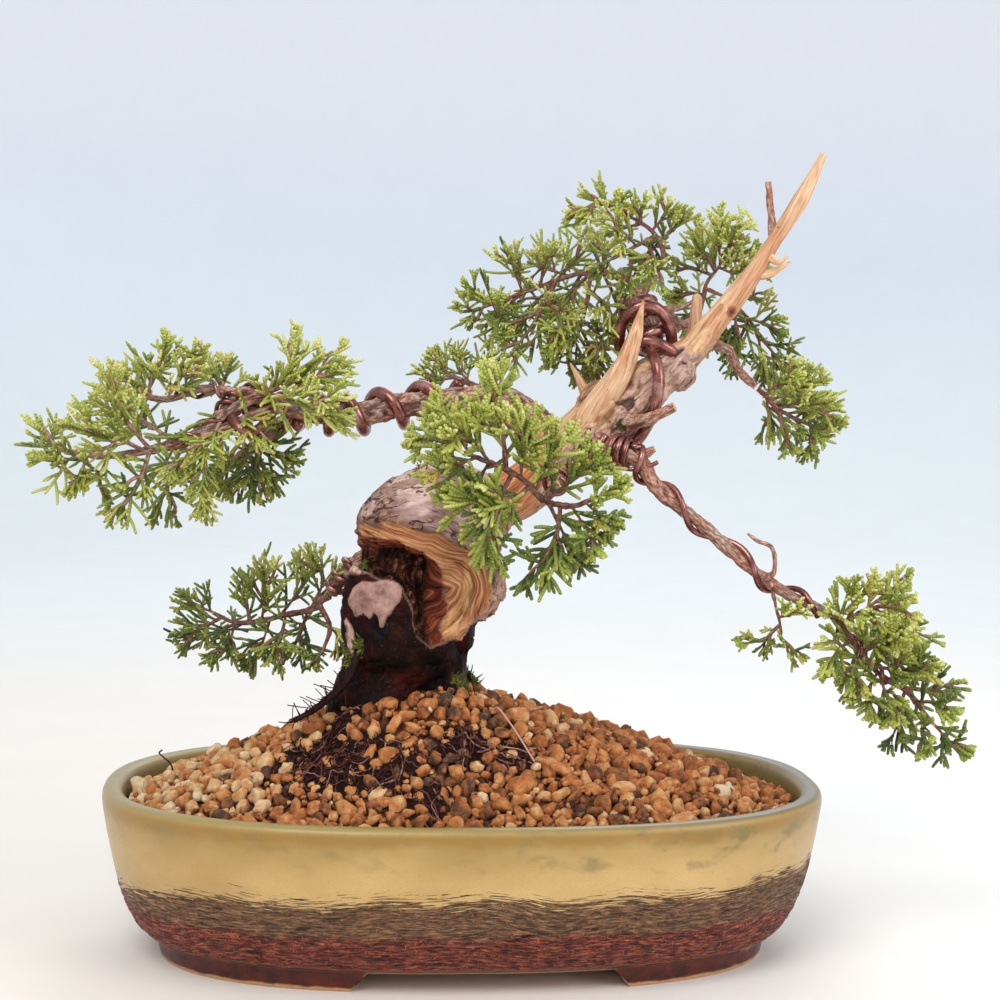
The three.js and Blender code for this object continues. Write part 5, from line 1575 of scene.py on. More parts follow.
def trunk():
    """The trunk's skin with its relief and marks, and its moss; returns the skin's points."""
    mesh = trunk_skin()
    points = points_of(mesh)
    normals = normals_of(mesh)
    grain = local_places(points, [TRUNK_LOW, TRUNK_HIGH, *ROOTS], 0.018)
    ring = ring_places(points)
    torn = points + 3.0 * sideways(points, 0.16, 75) + 1.5 * sideways(points, 0.6, 77)
    marks, hollow_depth = front_marks(points)
    dead, neck = bare_wood(points, normals, grain, torn)
    plate = fbm(ring * [0.075, 0.19, 0.14], 5, 145) - 0.12 + 0.24 * spots(points, LIFTED_SPOTS)
    cap = spots(points, CAP_SPOT) * smoothstep(118, 126, points[:, 2]) * smoothstep(16, 11, points[:, 0])
    cap = smoothstep(0.1, 0.4, cap)
    # Layers of the exposed band follow its outer edge; deeper layers lie further in.
    depth = from_line(points, BAND[:BAND_OUTER]) + 0.7 * noise(points * 0.12, 95) + 0.3 * points[:, 1]
    layer = np.stack([ring[:, 0], depth, points[:, 1]], axis=1)
    moss = spots(torn + 2.5 * fbm(points * 0.3, 2, 97)[:, None], MOSS_SPOTS)
    marks |= {
        "grain": grain, "ring": ring, "layer": layer, "dead": dead, "neck": neck, "cap": cap, "plate": plate,
        "moss": moss,
    }
    bark = lerp(bark_relief(grain, 73), cap_relief(ring), cap) + 0.9 * cap * smoothstep(0.02, 0.06, plate)
    wood = wood_relief(grain, 80, 1.3)
    lift = trunk_lift(points, marks, hollow_depth, bark, wood)
    put_points(mesh, points + normals * lift[:, None])
    marked = marks["band"] + marks["maroon"] + marks["hollow"] + marks["patch"]
    # Depth of cracks and furrows, which the trunk's material darkens as painted shade.
    marks["relief"] = np.minimum(0, lerp(bark, wood, dead)) * (1 - np.clip(marked, 0, 1))
    set_values(mesh, marks)
    piece("tree_trunk", mesh, trunk_material(), ["tree"])
    moss_tufts(mesh, moss)
    return points_of(mesh)


def moss_material():
    """Green moss, or rusty where its tint is low."""
    f = Finish("moss", Roughness=0.85)
    shade = f.varied(f.value("tint"), f.noise(f.place(), 0.8), 0.3)
    colour = f.ramp(
        shade, (0.0, 92, 44, 28), (0.24, 146, 82, 50), (0.34, 48, 48, 16), (0.6, 86, 92, 28),
        (0.9, 136, 140, 56),
    )
    return f.finish(colour, 0.85, f.bump(shade, 0.1))


def moss_tufts(mesh, moss):
    """Short curled blades that stand on the mossy parts of the trunk."""
    random = np.random.default_rng(29)
    points = points_of(mesh)
    normals = normals_of(mesh)
    rusty = spots(points, RUSTY_SPOTS)
    density = 0.3 * smoothstep(0.35, 0.9, moss) + 0.16 * smoothstep(0.3, 0.8, rusty)
    wanted = np.flatnonzero(random.random(len(points)) < density)
    count = len(wanted)
    lean = unit(normals[wanted] + 0.55 * random.normal(size=(count, 3)) + 0.3 * UP)
    length = random.uniform(0.8, 2.2, count)
    bend = 0.4 * random.normal(size=(count, 3))
    shares = np.array([0.0, 0.35, 0.7, 1.0])
    paths = arcs(points[wanted] - 0.3 * normals[wanted], lean, length, bend, shares)
    radii = np.repeat(random.uniform(0.16, 0.3, (count, 1)), 4, axis=1) * np.array([1.2, 1.0, 0.8, 0.4])
    tint = np.where(rusty[wanted] > 0.3, random.uniform(0.0, 0.28, count), random.uniform(0.3, 0.85, count))
    shell = Shell()
    shell.add(*tubes(paths, radii, 4), tint=spread(tint, 4, 4))
    piece("trunk_moss", shell.mesh("trunk_moss"), moss_material())


def limb_mesh(
    shell, points, sides, step, relief,
    swell=0.0, depth=1.0, start=0.0, end=1.0, sunk=0.0, torn=0.0, round_off=False,
):
    """Adds a limb whose skin is raised by relief(grain, radius).

    depth is its size from front to back, as a share of its width; sunk thins its start, which then lies
    inside what it grows from, and torn makes that start reach further out on some sides than on others.
    """
    at = stations(points, start=start, end=end, step=step)
    place = at["place"]
    angles = 2 * np.pi * np.arange(sides) / sides
    reach = reach_along(place)
    waves = np.sin(2 * angles + 1) + 0.8 * np.sin(5 * angles) + 0.6 * np.sin(9 * angles + 2)
    radii = (at["radius"] + swell)[:, None] - sunk * smoothstep(9, 0, reach[:, None] + torn * waves)
    if round_off:
        left = reach[-1] - reach
        rounding = np.sqrt(np.clip(1 - (1 - left / 1.6) ** 2, 0.06, 1) * (left < 1.6) + (left >= 1.6))
        radii = radii * rounding[:, None]
    spin = angles[None] + 0.02 * reach[:, None]
    around = radii * np.cos(spin), radii * np.sin(spin)
    grain = np.stack([reach[:, None].repeat(sides, axis=1), *around], axis=2)
    # Each limb takes its relief from another place.
    raised = relief(grain + np.array([37.0 * shell.count % 1009, 0, 0]), radii)
    radii = np.maximum(radii + raised, 0.25 * radii)
    spokes = at["side"][:, None] * np.cos(angles)[:, None] + at["across"][:, None] * np.sin(angles)[:, None]
    spokes[..., 1] -= (1 - depth) * spokes[..., 1]
    shell.add(
        *closed_rings(place[:, None] + spokes * radii[..., None], place[0], place[-1]),
        share=spread(at["share"][None], len(place), sides),
        relief=np.concatenate([raised.ravel(), raised[0, :1], raised[-1, :1]]),
        grain=np.vstack([grain.reshape(-1, 3), grain[0].mean(axis=0), grain[-1].mean(axis=0)]),
    )


# Middle of a knot hole in the long dead tip; the hole's darkness is painted shade.
KNOT = np.array([87.9, -3.0, 214.2])


def jin_material():
    """Bleached dead wood with painted shade in its cracks, and a knot hole whose dark middle is painted
    shade.
    """
    f = Finish("bleached_wood", Roughness=0.6, Specular_IOR_Level=0.35)
    grain = f.vector("grain")
    wood, fibres = wood_colour(f, grain)
    # Painted shade: the wood darkens in its cracks.
    colour = f.mix(f.range(f.value("relief"), -0.1, -0.6, 0.0, 0.7), wood, (142, 92, 62))
    narrow = np.array([1.0, 0.2, 1.0])
    ends = {0: f.stretched(f.place(), tuple(narrow)), 1: tuple((OFFSET + KNOT) * narrow)}
    gap = f.node("ShaderNodeVectorMath", ends, operation="DISTANCE").outputs["Value"]
    # The knot's rim is brown wood; its dark middle is painted shade of the hole.
    knot = f.mix(f.range(gap, 1.5, 0.7), (150, 74, 46), (58, 24, 18))
    colour = f.mix(f.range(gap, 2.6, 1.5, 0.0, 0.9), colour, knot)
    return f.finish(colour, f.range(fibres, 0.3, 0.7, 0.5, 0.75), f.bump(fibres, 0.35, 0.9))


def jin_relief(grain, radii):
    return wood_relief(grain, 100, 0.55) * np.clip(radii / 3.5, 0.12, 1.1)


def jins():
    """The bare dead spikes of the crown."""
    shell = Shell()
    limb_mesh(shell, JIN_LINE, 64, 0.45, jin_relief, swell=0.35, depth=0.8, start=0.58, sunk=3.0, torn=5.0)
    limb_mesh(shell, JINS["ridge"], 60, 0.4, jin_relief, depth=0.6, sunk=3.2)
    for name in ("small", "stub", "side", "spur"):
        limb_mesh(shell, JINS[name], 28, 0.35, jin_relief, depth=0.8, round_off=True)
    piece("tree_deadwood", shell.mesh("tree_deadwood"), jin_material(), ["tree"])


def twig_relief(grain, radii):
    """Small curling scales of bark on a young branch."""
    size = np.clip(radii / 3.2, 0.3, 1.2)
    scales = terraces(fbm(grain * [0.22, 0.5, 0.5], 3, 110), 5)
    curl = noise(grain * [0.5, 1.0, 1.0], 113)
    return size * (1.3 * scales + 0.22 * curl)


def stem_relief(grain, radii):
    """Shaggy bark of the stems in a pad: raised, torn flakes along the stem."""
    size = np.clip(radii / 2.4, 0.35, 1.3)
    flakes = terraces(fbm(grain * [0.28, 0.8, 0.8], 3, 120), 4)
    torn = np.maximum(0, noise(grain * [0.45, 1.1, 1.1], 124) - 0.15)
    return size * (1.5 * flakes + 0.8 * torn - 0.1)


def branch_material(name, darker):
    """Flaking bark of the branches, with painted shade in its cracks; darker is the share by which it is
    tinted brown.
    """
    f = Finish(name, Roughness=0.75, Specular_IOR_Level=0.25)
    grain = f.vector("grain")
    here = f.place()
    flaky = f.noise(grain, (0.5, 1.5, 1.5), 5.0, 0.7)
    warm = f.ramp(flaky, (0.3, 72, 40, 32), (0.44, 138, 90, 72), (0.55, 184, 134, 114), (0.7, 226, 192, 176))
    grey = f.ramp(flaky, (0.3, 80, 58, 50), (0.48, 150, 118, 102), (0.66, 212, 186, 170))
    colour = f.mix(f.range(f.noise(here, 0.12, 3.0), 0.44, 0.6), warm, grey)
    # Painted shade: the bark darkens in its cracks.
    colour = f.mix(f.range(f.value("relief"), -0.1, -0.5, 0.0, 0.75), colour, (52, 30, 26))
    colour = f.mix(darker, colour, f.mix(1.0, colour, (150, 116, 92), "MULTIPLY"))
    colour = f.mix(f.range(f.value("share"), 0.985, 0.995), colour, (214, 164, 116))
    return f.finish(colour, f.range(flaky, 0.3, 0.7, 0.6, 0.9), f.bump(flaky, 0.4, 0.9))


# A short knobbly stub at the root of the right branch.
KNOB = [(50, -10, 164.4, 3.0), (54.6, -12.2, 166.2, 2.3), (58, -13.2, 167.4, 1.8), (60.6, -13.8, 168.8, 1.0)]


def branches(finish):
    """The living branches, a few dead twigs and the knob."""
    shell = Shell()
    for points in LIMBS.values():
        limb_mesh(shell, points, 40 if points[0][3] > 2.5 else 24, 0.45, twig_relief)
    limb_mesh(shell, JINS["cut"], 36, 0.4, twig_relief)
    limb_mesh(shell, JINS["twig"], 24, 0.4, twig_relief)
    limb_mesh(shell, KNOB, 30, 0.35, twig_relief)
    limb_mesh(shell, JINS["back"], 20, 0.4, twig_relief, round_off=True)
    piece("tree_branches", shell.mesh("tree_branches"), finish, ["tree"])


# ---------- wire ----------
WIRES = {
    "wire_left_branch": (WIRE_THICK, [("left", 0.37, 0.93, 4.5, 0.4)]),
    "wire_apex": (WIRE_THICK, [("apex", 0.43, 0.61, 1.5, 0.2), ("apex", 0.7, 0.93, 2, 9.62)]),
    "wire_right_branch": (WIRE_THIN, [("right", 0.1, 0.25, 4, 0.6), ("right", 0.27, 0.97, 3.4, 0.0)]),
    "wire_low_branch": (WIRE_THIN, [("low", 0.42, 0.93, 3, 1)]),
}
# The thick wire's way from the apex down over the front of the crown, as (x, y, z); where the trunk
# lies behind a place, the wire lies on it.
FRONT_WIRE = [
    (59, 6, 204.5), (60.8, 3, 201), (62, -4, 196), (62.4, -6, 191), (62, -7, 186), (61.2, -7.5, 180.6),
    (59.6, -7, 176), (57.4, -5, 172), (54, -2, 167.6), (49.8, 2, 164), (46, 4, 161.8), (42.2, 6, 160.9),
    (37.2, 10, 162), (33, 14, 163.5),
]
# Two more turns of it round the apex stem, behind the ridge of dead wood.
APEX_TURN = [
    (57.6, 16, 194), (52.2, 11, 200.9), (51.3, 5, 209), (54.8, 2, 214.4), (59.6, 1, 216.1),
    (64.4, 2, 213.9), (68.1, 5, 207.9), (69.1, 11, 201.2), (65.4, 16, 197), (57.6, 15.6, 195.4),
    (53.2, 9, 197.2), (53.7, 4, 201.7), (57.6, 1, 204.1), (62.7, 0, 203.5), (68.1, 1, 200.6),
    (71.6, 6, 195.9), (70.4, 12, 191.7),
]
# Its first turn round the bundled stems of the left pad.
LEFT_TURN = [
    (-70, 6, 184), (-75, 3, 182.5), (-78, -3, 179.8), (-77.6, -9, 176.6), (-75, -12.5, 173.8),
    (-71, -13, 172.6), (-67.5, -10.5, 174.8), (-66, -5, 178.5), (-67, 1, 181.5), (-70.5, 5, 180.5),
    (-75, 5, 177.5),
]
# The cut end of the right branch's wire.
WIRE_END = [(50, -11, 162), (54, -13, 161.8), (58, -14, 162.6), (61.6, -15, 164.4)]
# Thin wires round the stems of the left and middle pads: stem, start, end, turns, phase.
STEM_WIRES = [
    ("foliage_left", 0, 0.02, 0.62, 3.1, 0.0), ("foliage_left", 0, 0.02, 0.55, 3.1, 0.55),
    ("foliage_left", 1, 0.0, 0.6, 2.2, 0.3), ("foliage_cascade", 0, 0.0, 0.7, 3.0, 0.2),
]


def wound(points, start, end, turns, phase, radius):
    """Route of a wire wound round a limb, which it just touches."""
    count = math.ceil(turns * 28)
    at = stations(points, start=start, end=end, count=count)
    angles = phase + 2 * np.pi * turns * np.arange(count + 1) / count
    reach = (at["radius"] + radius + WIRE_CLEARANCE)[:, None]
    to_side = at["side"] * reach * np.cos(angles)[:, None]
    return at["place"] + to_side + at["across"] * reach * np.sin(angles)[:, None]


def front_wire(skin):
    """The front wire's route, laid on the trunk's skin where it has any behind it."""
    route = np.array(FRONT_WIRE, float)
    for place in route:
        near = np.hypot(skin[:, 0] - place[0], skin[:, 2] - place[2]) < 2.2
        if np.any(near):
            place[1] = min(place[1] + 6, skin[near, 1].min() - 0.7 * WIRE_THICK)
    inner = (route[:-2, 1] + 2 * route[1:-1, 1] + route[2:, 1]) / 4
    route[1:-1, 1] = np.minimum(inner, route[1:-1, 1])
    return route


def wire_material():
    """Copper-brown metal, worn in places."""
    f = Finish("anodised_wire", Metallic=0.8)
    here = f.place()
    drawn = f.noise(here, 0.9, 3.0)
    worn = f.noise(here, 0.18, 3.0)
    colour = f.ramp(worn, (0.3, 104, 56, 50), (0.5, 142, 90, 82), (0.7, 182, 134, 124))
    colour = f.mix(f.range(drawn, 0.55, 0.72, 0.0, 0.25), colour, (64, 28, 24))
    return f.finish(colour, f.range(drawn, 0.3, 0.7, 0.22, 0.32), f.bump(drawn, 0.03))


def wire_piece(name, routes, radius, finish, nodes=()):
    """A piece of round wires that follow their routes smoothly."""
    shell = Shell()
    for route in routes:
        smooth, _, _ = on_curve(route, np.linspace(0, 1, 4 * len(route)))
        shell.add(*tubes(smooth[None], np.full((1, len(smooth)), float(radius)), 16))
    piece(name, shell.mesh(name), finish, nodes)


def wires(skin):
    """All the training wires, some of them over the trunk's skin."""
    finish = wire_material()
    for name, (radius, stretches) in WIRES.items():
        route = np.vstack([wound(LIMBS[limb], *rest, radius) for limb, *rest in stretches])
        wire_piece(name, [route[::2]], radius, finish, [name])
    wire_piece("wire_front", [front_wire(skin), APEX_TURN, LEFT_TURN], WIRE_THICK, finish)
    routes = [wound(PADS[name]["stems"][stem], *rest, STEM_WIRE)[::2] for name, stem, *rest in STEM_WIRES]
    routes.append(wound(LIMBS["front"], 0.3, 1.0, 1.6, 2.2, 1.2)[::2])
    routes.append(WIRE_END)
    wire_piece("wire_stems", routes, STEM_WIRE, finish)


# ---------- foliage ----------
# Radii at the root and the end of a twig, where it is long and where it is short.
LONG_TWIG = (0.85, 0.5)
SHORT_TWIG = (0.62, 0.42)
# The most shoots that one piece of leaves has.
MOST_SHOOTS = 270
# Foliage pads: the radius of their cords, their longest shoot and the gap between shoots in mm, how thick
# their stems look as a share of the solid's, and how much paler or (below 0) darker than the rest they are;
# then the stems that carry them, as (x, y, z, radius), and their twigs, as (x, y, z).
PADS = {
    "foliage_left": {
        "seed": 11, "cord": 0.52, "longest": 14, "spacing": 3.3, "stem_share": 1, "tone": 0.08,
        "stems": [
            [
                (-61.9, 0, 181.2, 2.9), (-68.5, -2, 184, 2.6), (-76, -4, 184.5, 2.3), (-81, -6, 179, 2),
                (-91, -8, 170.5, 1.8), (-106.5, -8, 166, 1.5), (-119, -8, 164, 1.2), (-132, -8, 165.5, 0.9),
            ],
            [(-75, -4, 184.4, 1.9), (-87.5, 2, 186, 1.4), (-100, 4, 182.5, 1.2), (-106.5, 6, 183, 1)],
            [(-65, -0.6, 182.4, 1.9), (-66.5, 8, 173, 1.3), (-71, 12, 168, 1.2), (-77.5, 16, 163, 1)],
            [(-62, 0, 181.4, 2.4), (-70, -6, 178, 1.9), (-80, -9, 174, 1.6), (-92, -10, 168.8, 1.1)],
            [
                (-62, -1, 182.4, 2.2), (-69, -6, 184, 1.9), (-77, -8, 180.5, 1.6), (-85, -8, 174, 1.3),
                (-96, -8, 167.4, 0.9),
            ],
            [
                (-63, 2, 181.2, 2.2), (-72, 2, 181, 1.8), (-80, 0, 177, 1.5), (-88, -4, 170.8, 1.2),
                (-98, -8, 166.6, 0.8),
            ],
            [(-58, 4, 178, 2.2), (-64, 9, 172, 1.9), (-71, 12, 166.5, 1.5), (-79, 14, 161.5, 1.1)],
        ],
        "twigs": [
            [(-106.5, -8, 166), (-113.5, -16, 170), (-120.5, -22, 172.5), (-130.5, -26, 175)],
            [(-104.5, -8, 166.5), (-110, -16, 174.5), (-114.5, -22, 183.5), (-118, -24, 191.5)],
            [(-106.5, 6, 183), (-105, 4, 189), (-102, 2, 195.5), (-99.5, 0, 201.5)],
            [(-104, 5.4, 182.8), (-110.5, 4, 187), (-115.5, 2, 191.5)],
            [(-100, 4, 182.5), (-95.5, -6, 189), (-92.5, -10, 193)],
            [(-131, -8, 165.4), (-137.5, -4, 168.5), (-143.5, 2, 170)],
            [(-127, -8, 164.7), (-132.5, -14, 162.5), (-139.5, -18, 164.5)],
            [(-124.5, -8, 164.5), (-126, -14, 159), (-128.5, -16, 153)],
            [(-117.5, -8, 164.2), (-120.5, -10, 157), (-119, -8, 150)],
            [(-104.5, -8, 166.5), (-106.5, -14, 158.5), (-110.5, -16, 151), (-114, -14, 146.5)],
            [(-96.5, -8, 168.5), (-105.5, 8, 173.5), (-116.5, 18, 177.5), (-128, 26, 180.5)],
            [(-92, -8, 170), (-98, 4, 160.5), (-100.5, 8, 152), (-105, 8, 143.5)],
            [(-90, -8, 171.4), (-86.5, -12, 162), (-87, -14, 154), (-88, -12, 148)],
            [(-71.5, 12.4, 167.6), (-77, 14, 158.5), (-80, 14, 151)],
            [(-76.5, 15.4, 163.8), (-82.5, 18, 159), (-88, 20, 154.5)],
            [(-70, 11.4, 169), (-64.5, 10, 164), (-56.5, 8, 162)],
            [(-68.5, -2, 184), (-60.5, -18, 183.5), (-52, -26, 181), (-41.5, -28, 176)],
            [(-68.5, -2, 184.6), (-59, -12, 188.5), (-50, -18, 191), (-41.5, -20, 192.5)],
            [(-72.5, -3, 184.5), (-64, -14, 187), (-58.5, -16, 193.5), (-54.5, -16, 199.5)],
            [(-78, -4.6, 182.6), (-83.5, 8, 189), (-87, 12, 193)],
            [(-66.5, 8, 173), (-70, 4, 163), (-74, 2, 155)],
            [(-71, 12, 168), (-68, 8, 160), (-66, 4, 153)],
            [(-80, -6, 180), (-84, -12, 171), (-89, -14, 164)],
            [(-86, -8, 174.5), (-92, -14, 165), (-97, -16, 158)],
            [(-75, -4, 184.3), (-72, -12, 176), (-70, -16, 170)],
            [(-77.5, 16, 163), (-72, 18, 157), (-66, 18, 153)],
            [(-95, 4, 184.5), (-90, 2, 192), (-88, 0, 198)],
        ],
    },
    "foliage_low_left": {
        "seed": 23, "cord": 0.48, "longest": 14, "spacing": 3.2, "stem_share": 0.85, "tone": -0.04,
        "stems": [
            [
                (-45.7, 17, 115.9, 1.9), (-53, 22, 110, 1.5), (-60.5, 26, 108, 1.3), (-69, 28, 105.5, 1.2),
                (-78, 30, 104.5, 1), (-86, 31, 108, 0.8),
            ],
            [(-49.5, 19.6, 113, 1.2), (-45.5, 14, 105, 1), (-48, 10, 97.5, 0.8)],
        ],
        "twigs": [
            [(-85, 31, 107.6), (-91, 32, 110), (-96.5, 32, 113)],
            [(-82.5, 30.6, 106.4), (-90, 30, 102.5), (-97.5, 28, 100)],
            [(-78, 30, 104.5), (-80.5, 24, 97.5), (-84.5, 20, 92.5)],
            [(-73, 29, 105), (-74.5, 30, 111.5), (-78, 30, 119.5)],
            [(-69, 28, 105.5), (-67.5, 22, 116), (-68.5, 18, 125.5)],
            [(-66, 27.4, 106.4), (-70, 32, 94.5), (-73.5, 34, 90)],
            [(-60.5, 26, 108), (-62.5, 16, 100.5), (-66, 12, 94)],
            [(-62.5, 26.4, 107.4), (-56, 34, 115.5), (-53, 38, 119.5)],
            [(-53, 22, 110), (-55.5, 30, 101.5), (-58.5, 34, 94)],
            [(-51.5, 21, 111.2), (-48, 18, 121.5), (-53, 14, 131)],
            [(-46.5, 15.4, 107), (-42, 14, 101), (-40, 12, 95.5)],
            [(-48, 10, 97.5), (-51.5, 8, 93)],
            [(-76.5, 29.6, 104.8), (-86, 44, 99), (-92.5, 50, 95.5)],
        ],
    },
    "foliage_centre": {
        "seed": 37, "cord": 0.64, "longest": 13, "spacing": 2.9, "stem_share": 0.85, "tone": 0,
        "stems": [
            [(27.4, -14.9, 155.7, 2.1), (24, -30, 154, 1.6), (21.5, -42, 153, 1.4)],
            [(21.5, -41, 153, 1.3), (13, -50, 161, 1.1), (3, -54, 166, 1), (-5.5, -54, 169, 0.8)],
            [(21.5, -41, 153, 1.2), (29, -50, 152.5, 1), (35, -52, 154.5, 0.8)],
        ],
        "twigs": [
            [(-5, -54, 168.8), (-12.5, -52, 172.5), (-21, -48, 174)],
            [(-1.5, -54, 167.5), (-9.5, -60, 164.5), (-16.5, -62, 161.5)],
            [(3, -54, 166), (-4, -62, 174), (-11, -66, 178)],
            [(8, -52, 163.6), (6.5, -58, 174.5), (3, -58, 185), (2, -54, 192)],
            [(13, -50, 161), (12.5, -60, 172), (11, -64, 181)],
            [(18, -45, 156.4), (21, -56, 167), (23, -58, 176)],
            [(21.5, -42, 153), (30.5, -46, 161), (38.5, -46, 166)],
            [(34.5, -52, 154.3), (39.5, -54, 157), (44.5, -54, 159)],
            [(33, -51.4, 153.8), (37.5, -56, 150), (42, -56, 148)],
            [(29, -50, 152.5), (33, -54, 146), (36.5, -54, 140.5)],
            [(26, -46.5, 152.8), (24.5, -50, 143.5), (21, -50, 135.5), (21.5, -46, 128)],
            [(22.5, -42, 153), (30, -40, 139), (34, -36, 134)],
            [(16, -47, 158.2), (7.5, -58, 153), (-0.5, -62, 154.5), (-9, -62, 157.5)],
            [(10, -51, 162.4), (4.5, -60, 152), (2, -62, 144.5), (2, -60, 136)],
            [(3, -54, 166), (0, -44, 160), (-2, -38, 155)],
            [(-3, -54, 168.2), (-8, -42, 175.5), (-14, -34, 178)],
        ],
    },
    "foliage_crown_left": {
        "seed": 41, "cord": 0.46, "longest": 14, "spacing": 4.4, "stem_share": 0.7, "tone": 0.06,
        "stems": [
            [
                (50.7, 20.3, 226.9, 1.8), (40, 24, 227, 1.4), (31.5, 26, 224.5, 1.2), (20, 28, 220, 1),
                (10.5, 28, 216.5, 0.8),
            ],
            [(43, 22.9, 227, 1.3), (41.5, 22, 216, 1.1), (38.5, 20, 206, 0.9)],
            [(31.5, 26, 224.5, 1.1), (25.5, 22, 213.5, 1), (20, 18, 204.5, 0.8)],
        ],
        "twigs": [
            [(11, 28, 216.7), (6, 28, 218.5), (0, 28, 221.5)],
            [(15.5, 28, 218.4), (11.5, 20, 211), (10.5, 12, 217)],
            [(20, 28, 220), (17, 26, 228), (14.5, 24, 234)],
            [(26, 27, 222.4), (27, 22, 230.5), (30, 20, 235.5)],
            [(31.5, 26, 224.5), (37.5, 32, 231), (43.5, 36, 236)],
            [(25.5, 22, 213.5), (19, 22, 210), (13.5, 22, 202)],
            [(22, 19.4, 207.6), (16.5, 14, 201), (13, 10, 196.5)],
            [(27.5, 23.4, 217.5), (31.5, 12, 211.5), (32, 8, 203.5)],
            [(41.5, 22, 216), (38, 32, 210.5), (34.5, 38, 202)],
            [(40, 21, 211), (45.5, 14, 205), (46.5, 10, 199)],
            [(38.5, 20, 206), (35.5, 20, 198), (37, 20, 190.5)],
            [(42.2, 22.4, 221.5), (47, 12, 216), (50, 8, 209.5)],
            [(40, 24, 227), (37, 42, 219.5), (33, 50, 214.5)],
            [(36, 25, 225.8), (30, 40, 229), (23.5, 48, 231.5)],
            [(39.3, 20.4, 208.5), (45, 32, 200), (49, 38, 193)],
            [(46, 22, 227), (46.5, 16, 233), (45, 14, 238)],
            [(31.5, 26, 224.5), (24, 30, 216), (17, 32, 209)],
            [(20, 28, 220), (13, 30, 214), (7, 30, 208)],
            [(43, 22.9, 227), (36, 28, 220), (30, 30, 212)],
            [(41.5, 22, 216), (34, 16, 208), (30, 14, 200)],
            [(25.5, 22, 213.5), (26, 26, 204), (28, 28, 196)],
            [(47, 21, 227), (52, 24, 218), (55, 26, 208)],
            [(10.5, 28, 216.5), (4, 26, 214), (-2, 24, 213)],
            [(38.5, 20, 206), (44, 24, 198), (47, 26, 190)],
        ],
    },
    "foliage_crown_top": {
        "seed": 53, "cord": 0.48, "longest": 10.5, "spacing": 3.9, "stem_share": 0.68, "tone": 0.05,
        "stems": [
            [
                (65, 16, 227.6, 1.6), (67, 16, 234, 1.4), (62.5, 14, 241.5, 1.2), (53.5, 12, 246.5, 1),
                (45.5, 12, 250.5, 0.8),
            ],
            [(63.5, 14.4, 239.8, 1.1), (56.5, 8, 236, 1), (49.5, 4, 232.5, 0.8)],
        ],
        "twigs": [
            [(46, 12, 250.2), (40.5, 12, 248.5), (33.5, 12, 244.5)],
            [(48.5, 12, 249), (43, 9, 250), (37.5, 7, 247.5)],
            [(53.5, 12, 246.5), (52, 9, 249), (50.5, 7, 251.5)],
            [(58.5, 13, 243.7), (58, 9, 248), (58.5, 7, 251)],
            [(62.5, 14, 241.5), (66, 10, 246.5), (67, 8, 250)],
            [(65, 15, 237.6), (70, 12, 242.5), (71.5, 10, 247)],
            [(56.5, 8, 236), (50, -2, 240), (44.5, -8, 241.5)],
            [(50, 4.3, 232.7), (45, 2, 230), (40.5, 0, 227.5)],
            [(54, 6.6, 234.7), (53.5, 2, 227), (50.5, 0, 221)],
            [(60, 11.2, 237.8), (61.5, 0, 230.5), (60, -3, 226)],
            [(58.5, 13, 243.7), (54.5, 28, 243), (50, 36, 241)],
            [(63.5, 14.3, 239.8), (64.5, 30, 235.5), (62.5, 38, 232)],
        ],
    },
    "foliage_crown_right": {
        "seed": 67, "cord": 0.48, "longest": 14, "spacing": 3.9, "stem_share": 0.68, "tone": 0.06,
        "stems": [
            [
                (81, 28.2, 212.6, 1.4), (83, 27, 218.5, 1.3), (84, 26, 224.5, 1.1), (87, 26, 228.5, 1),
                (90, 26, 233, 0.8),
            ],
            [(83.7, 26.2, 222.5, 1.1), (93, 32, 219, 1), (100.5, 34, 212.5, 0.9), (106.5, 34, 204.5, 0.8)],
        ],
        "twigs": [
            [(89.7, 26, 232.5), (92, 22, 239.5), (94, 20, 244.5)],
            [(88.5, 26, 230.8), (87, 22, 239), (84.5, 20, 245)],
            [(87, 26, 228.5), (81.5, 22, 235), (78, 20, 239.5)],
            [(86, 26, 227.2), (80, 30, 229.5), (74, 30, 231.5)],
            [(89.5, 26, 232.2), (96.5, 30, 235), (101, 30, 237)],
            [(88, 26, 230), (92.5, 18, 228), (98, 14, 231.5)],
            [(87, 26, 228.5), (88.5, 40, 236.5), (90.5, 46, 242)],
            [(89.7, 26, 232.6), (99.5, 42, 232.5), (103.5, 48, 229.5)],
            [(83.3, 26.7, 220.4), (78.5, 32, 221), (73, 34, 219)],
            [(83.7, 26.4, 222), (81, 34, 214.5), (79, 38, 208)],
            [(93, 32, 219), (99.5, 34, 220.5), (105.5, 34, 219)],
            [(96, 32.8, 216.4), (96.5, 36, 208.5), (98, 38, 200.5)],
            [(100.5, 34, 212.5), (106, 30, 210.5), (111, 28, 208)],
            [(106, 34, 205.2), (111, 34, 199), (114, 32, 194)],
            [(104, 34, 207.8), (107, 40, 198.5), (108.5, 42, 191)],
            [(100.5, 34, 212.5), (98, 38, 204), (94, 40, 196)],
            [(93, 32, 219), (91, 38, 210), (88, 40, 202)],
        ],
    },
    "foliage_right_back": {
        "seed": 71, "cord": 0.52, "longest": 14, "spacing": 3.7, "stem_share": 0.8, "tone": 0.06,
        "stems": [
            [(101.3, 18.1, 188.3, 1.3), (108, 16, 181.5, 1.1), (114, 16, 178, 0.9), (117.5, 14, 173.5, 0.8)],
        ],
        "twigs": [
            [(103.5, 17.4, 186), (108.5, 12, 191.5), (113.5, 8, 193.5)],
            [(105.5, 16.8, 184), (113.5, 12, 188), (121.5, 8, 191)],
            [(108, 16, 181.5), (116, 8, 184), (124, 4, 183.5)],
            [(111, 16, 179.8), (120, 20, 180.5), (128.5, 22, 179)],
            [(114, 16, 178), (121, 12, 175), (126, 10, 174)],
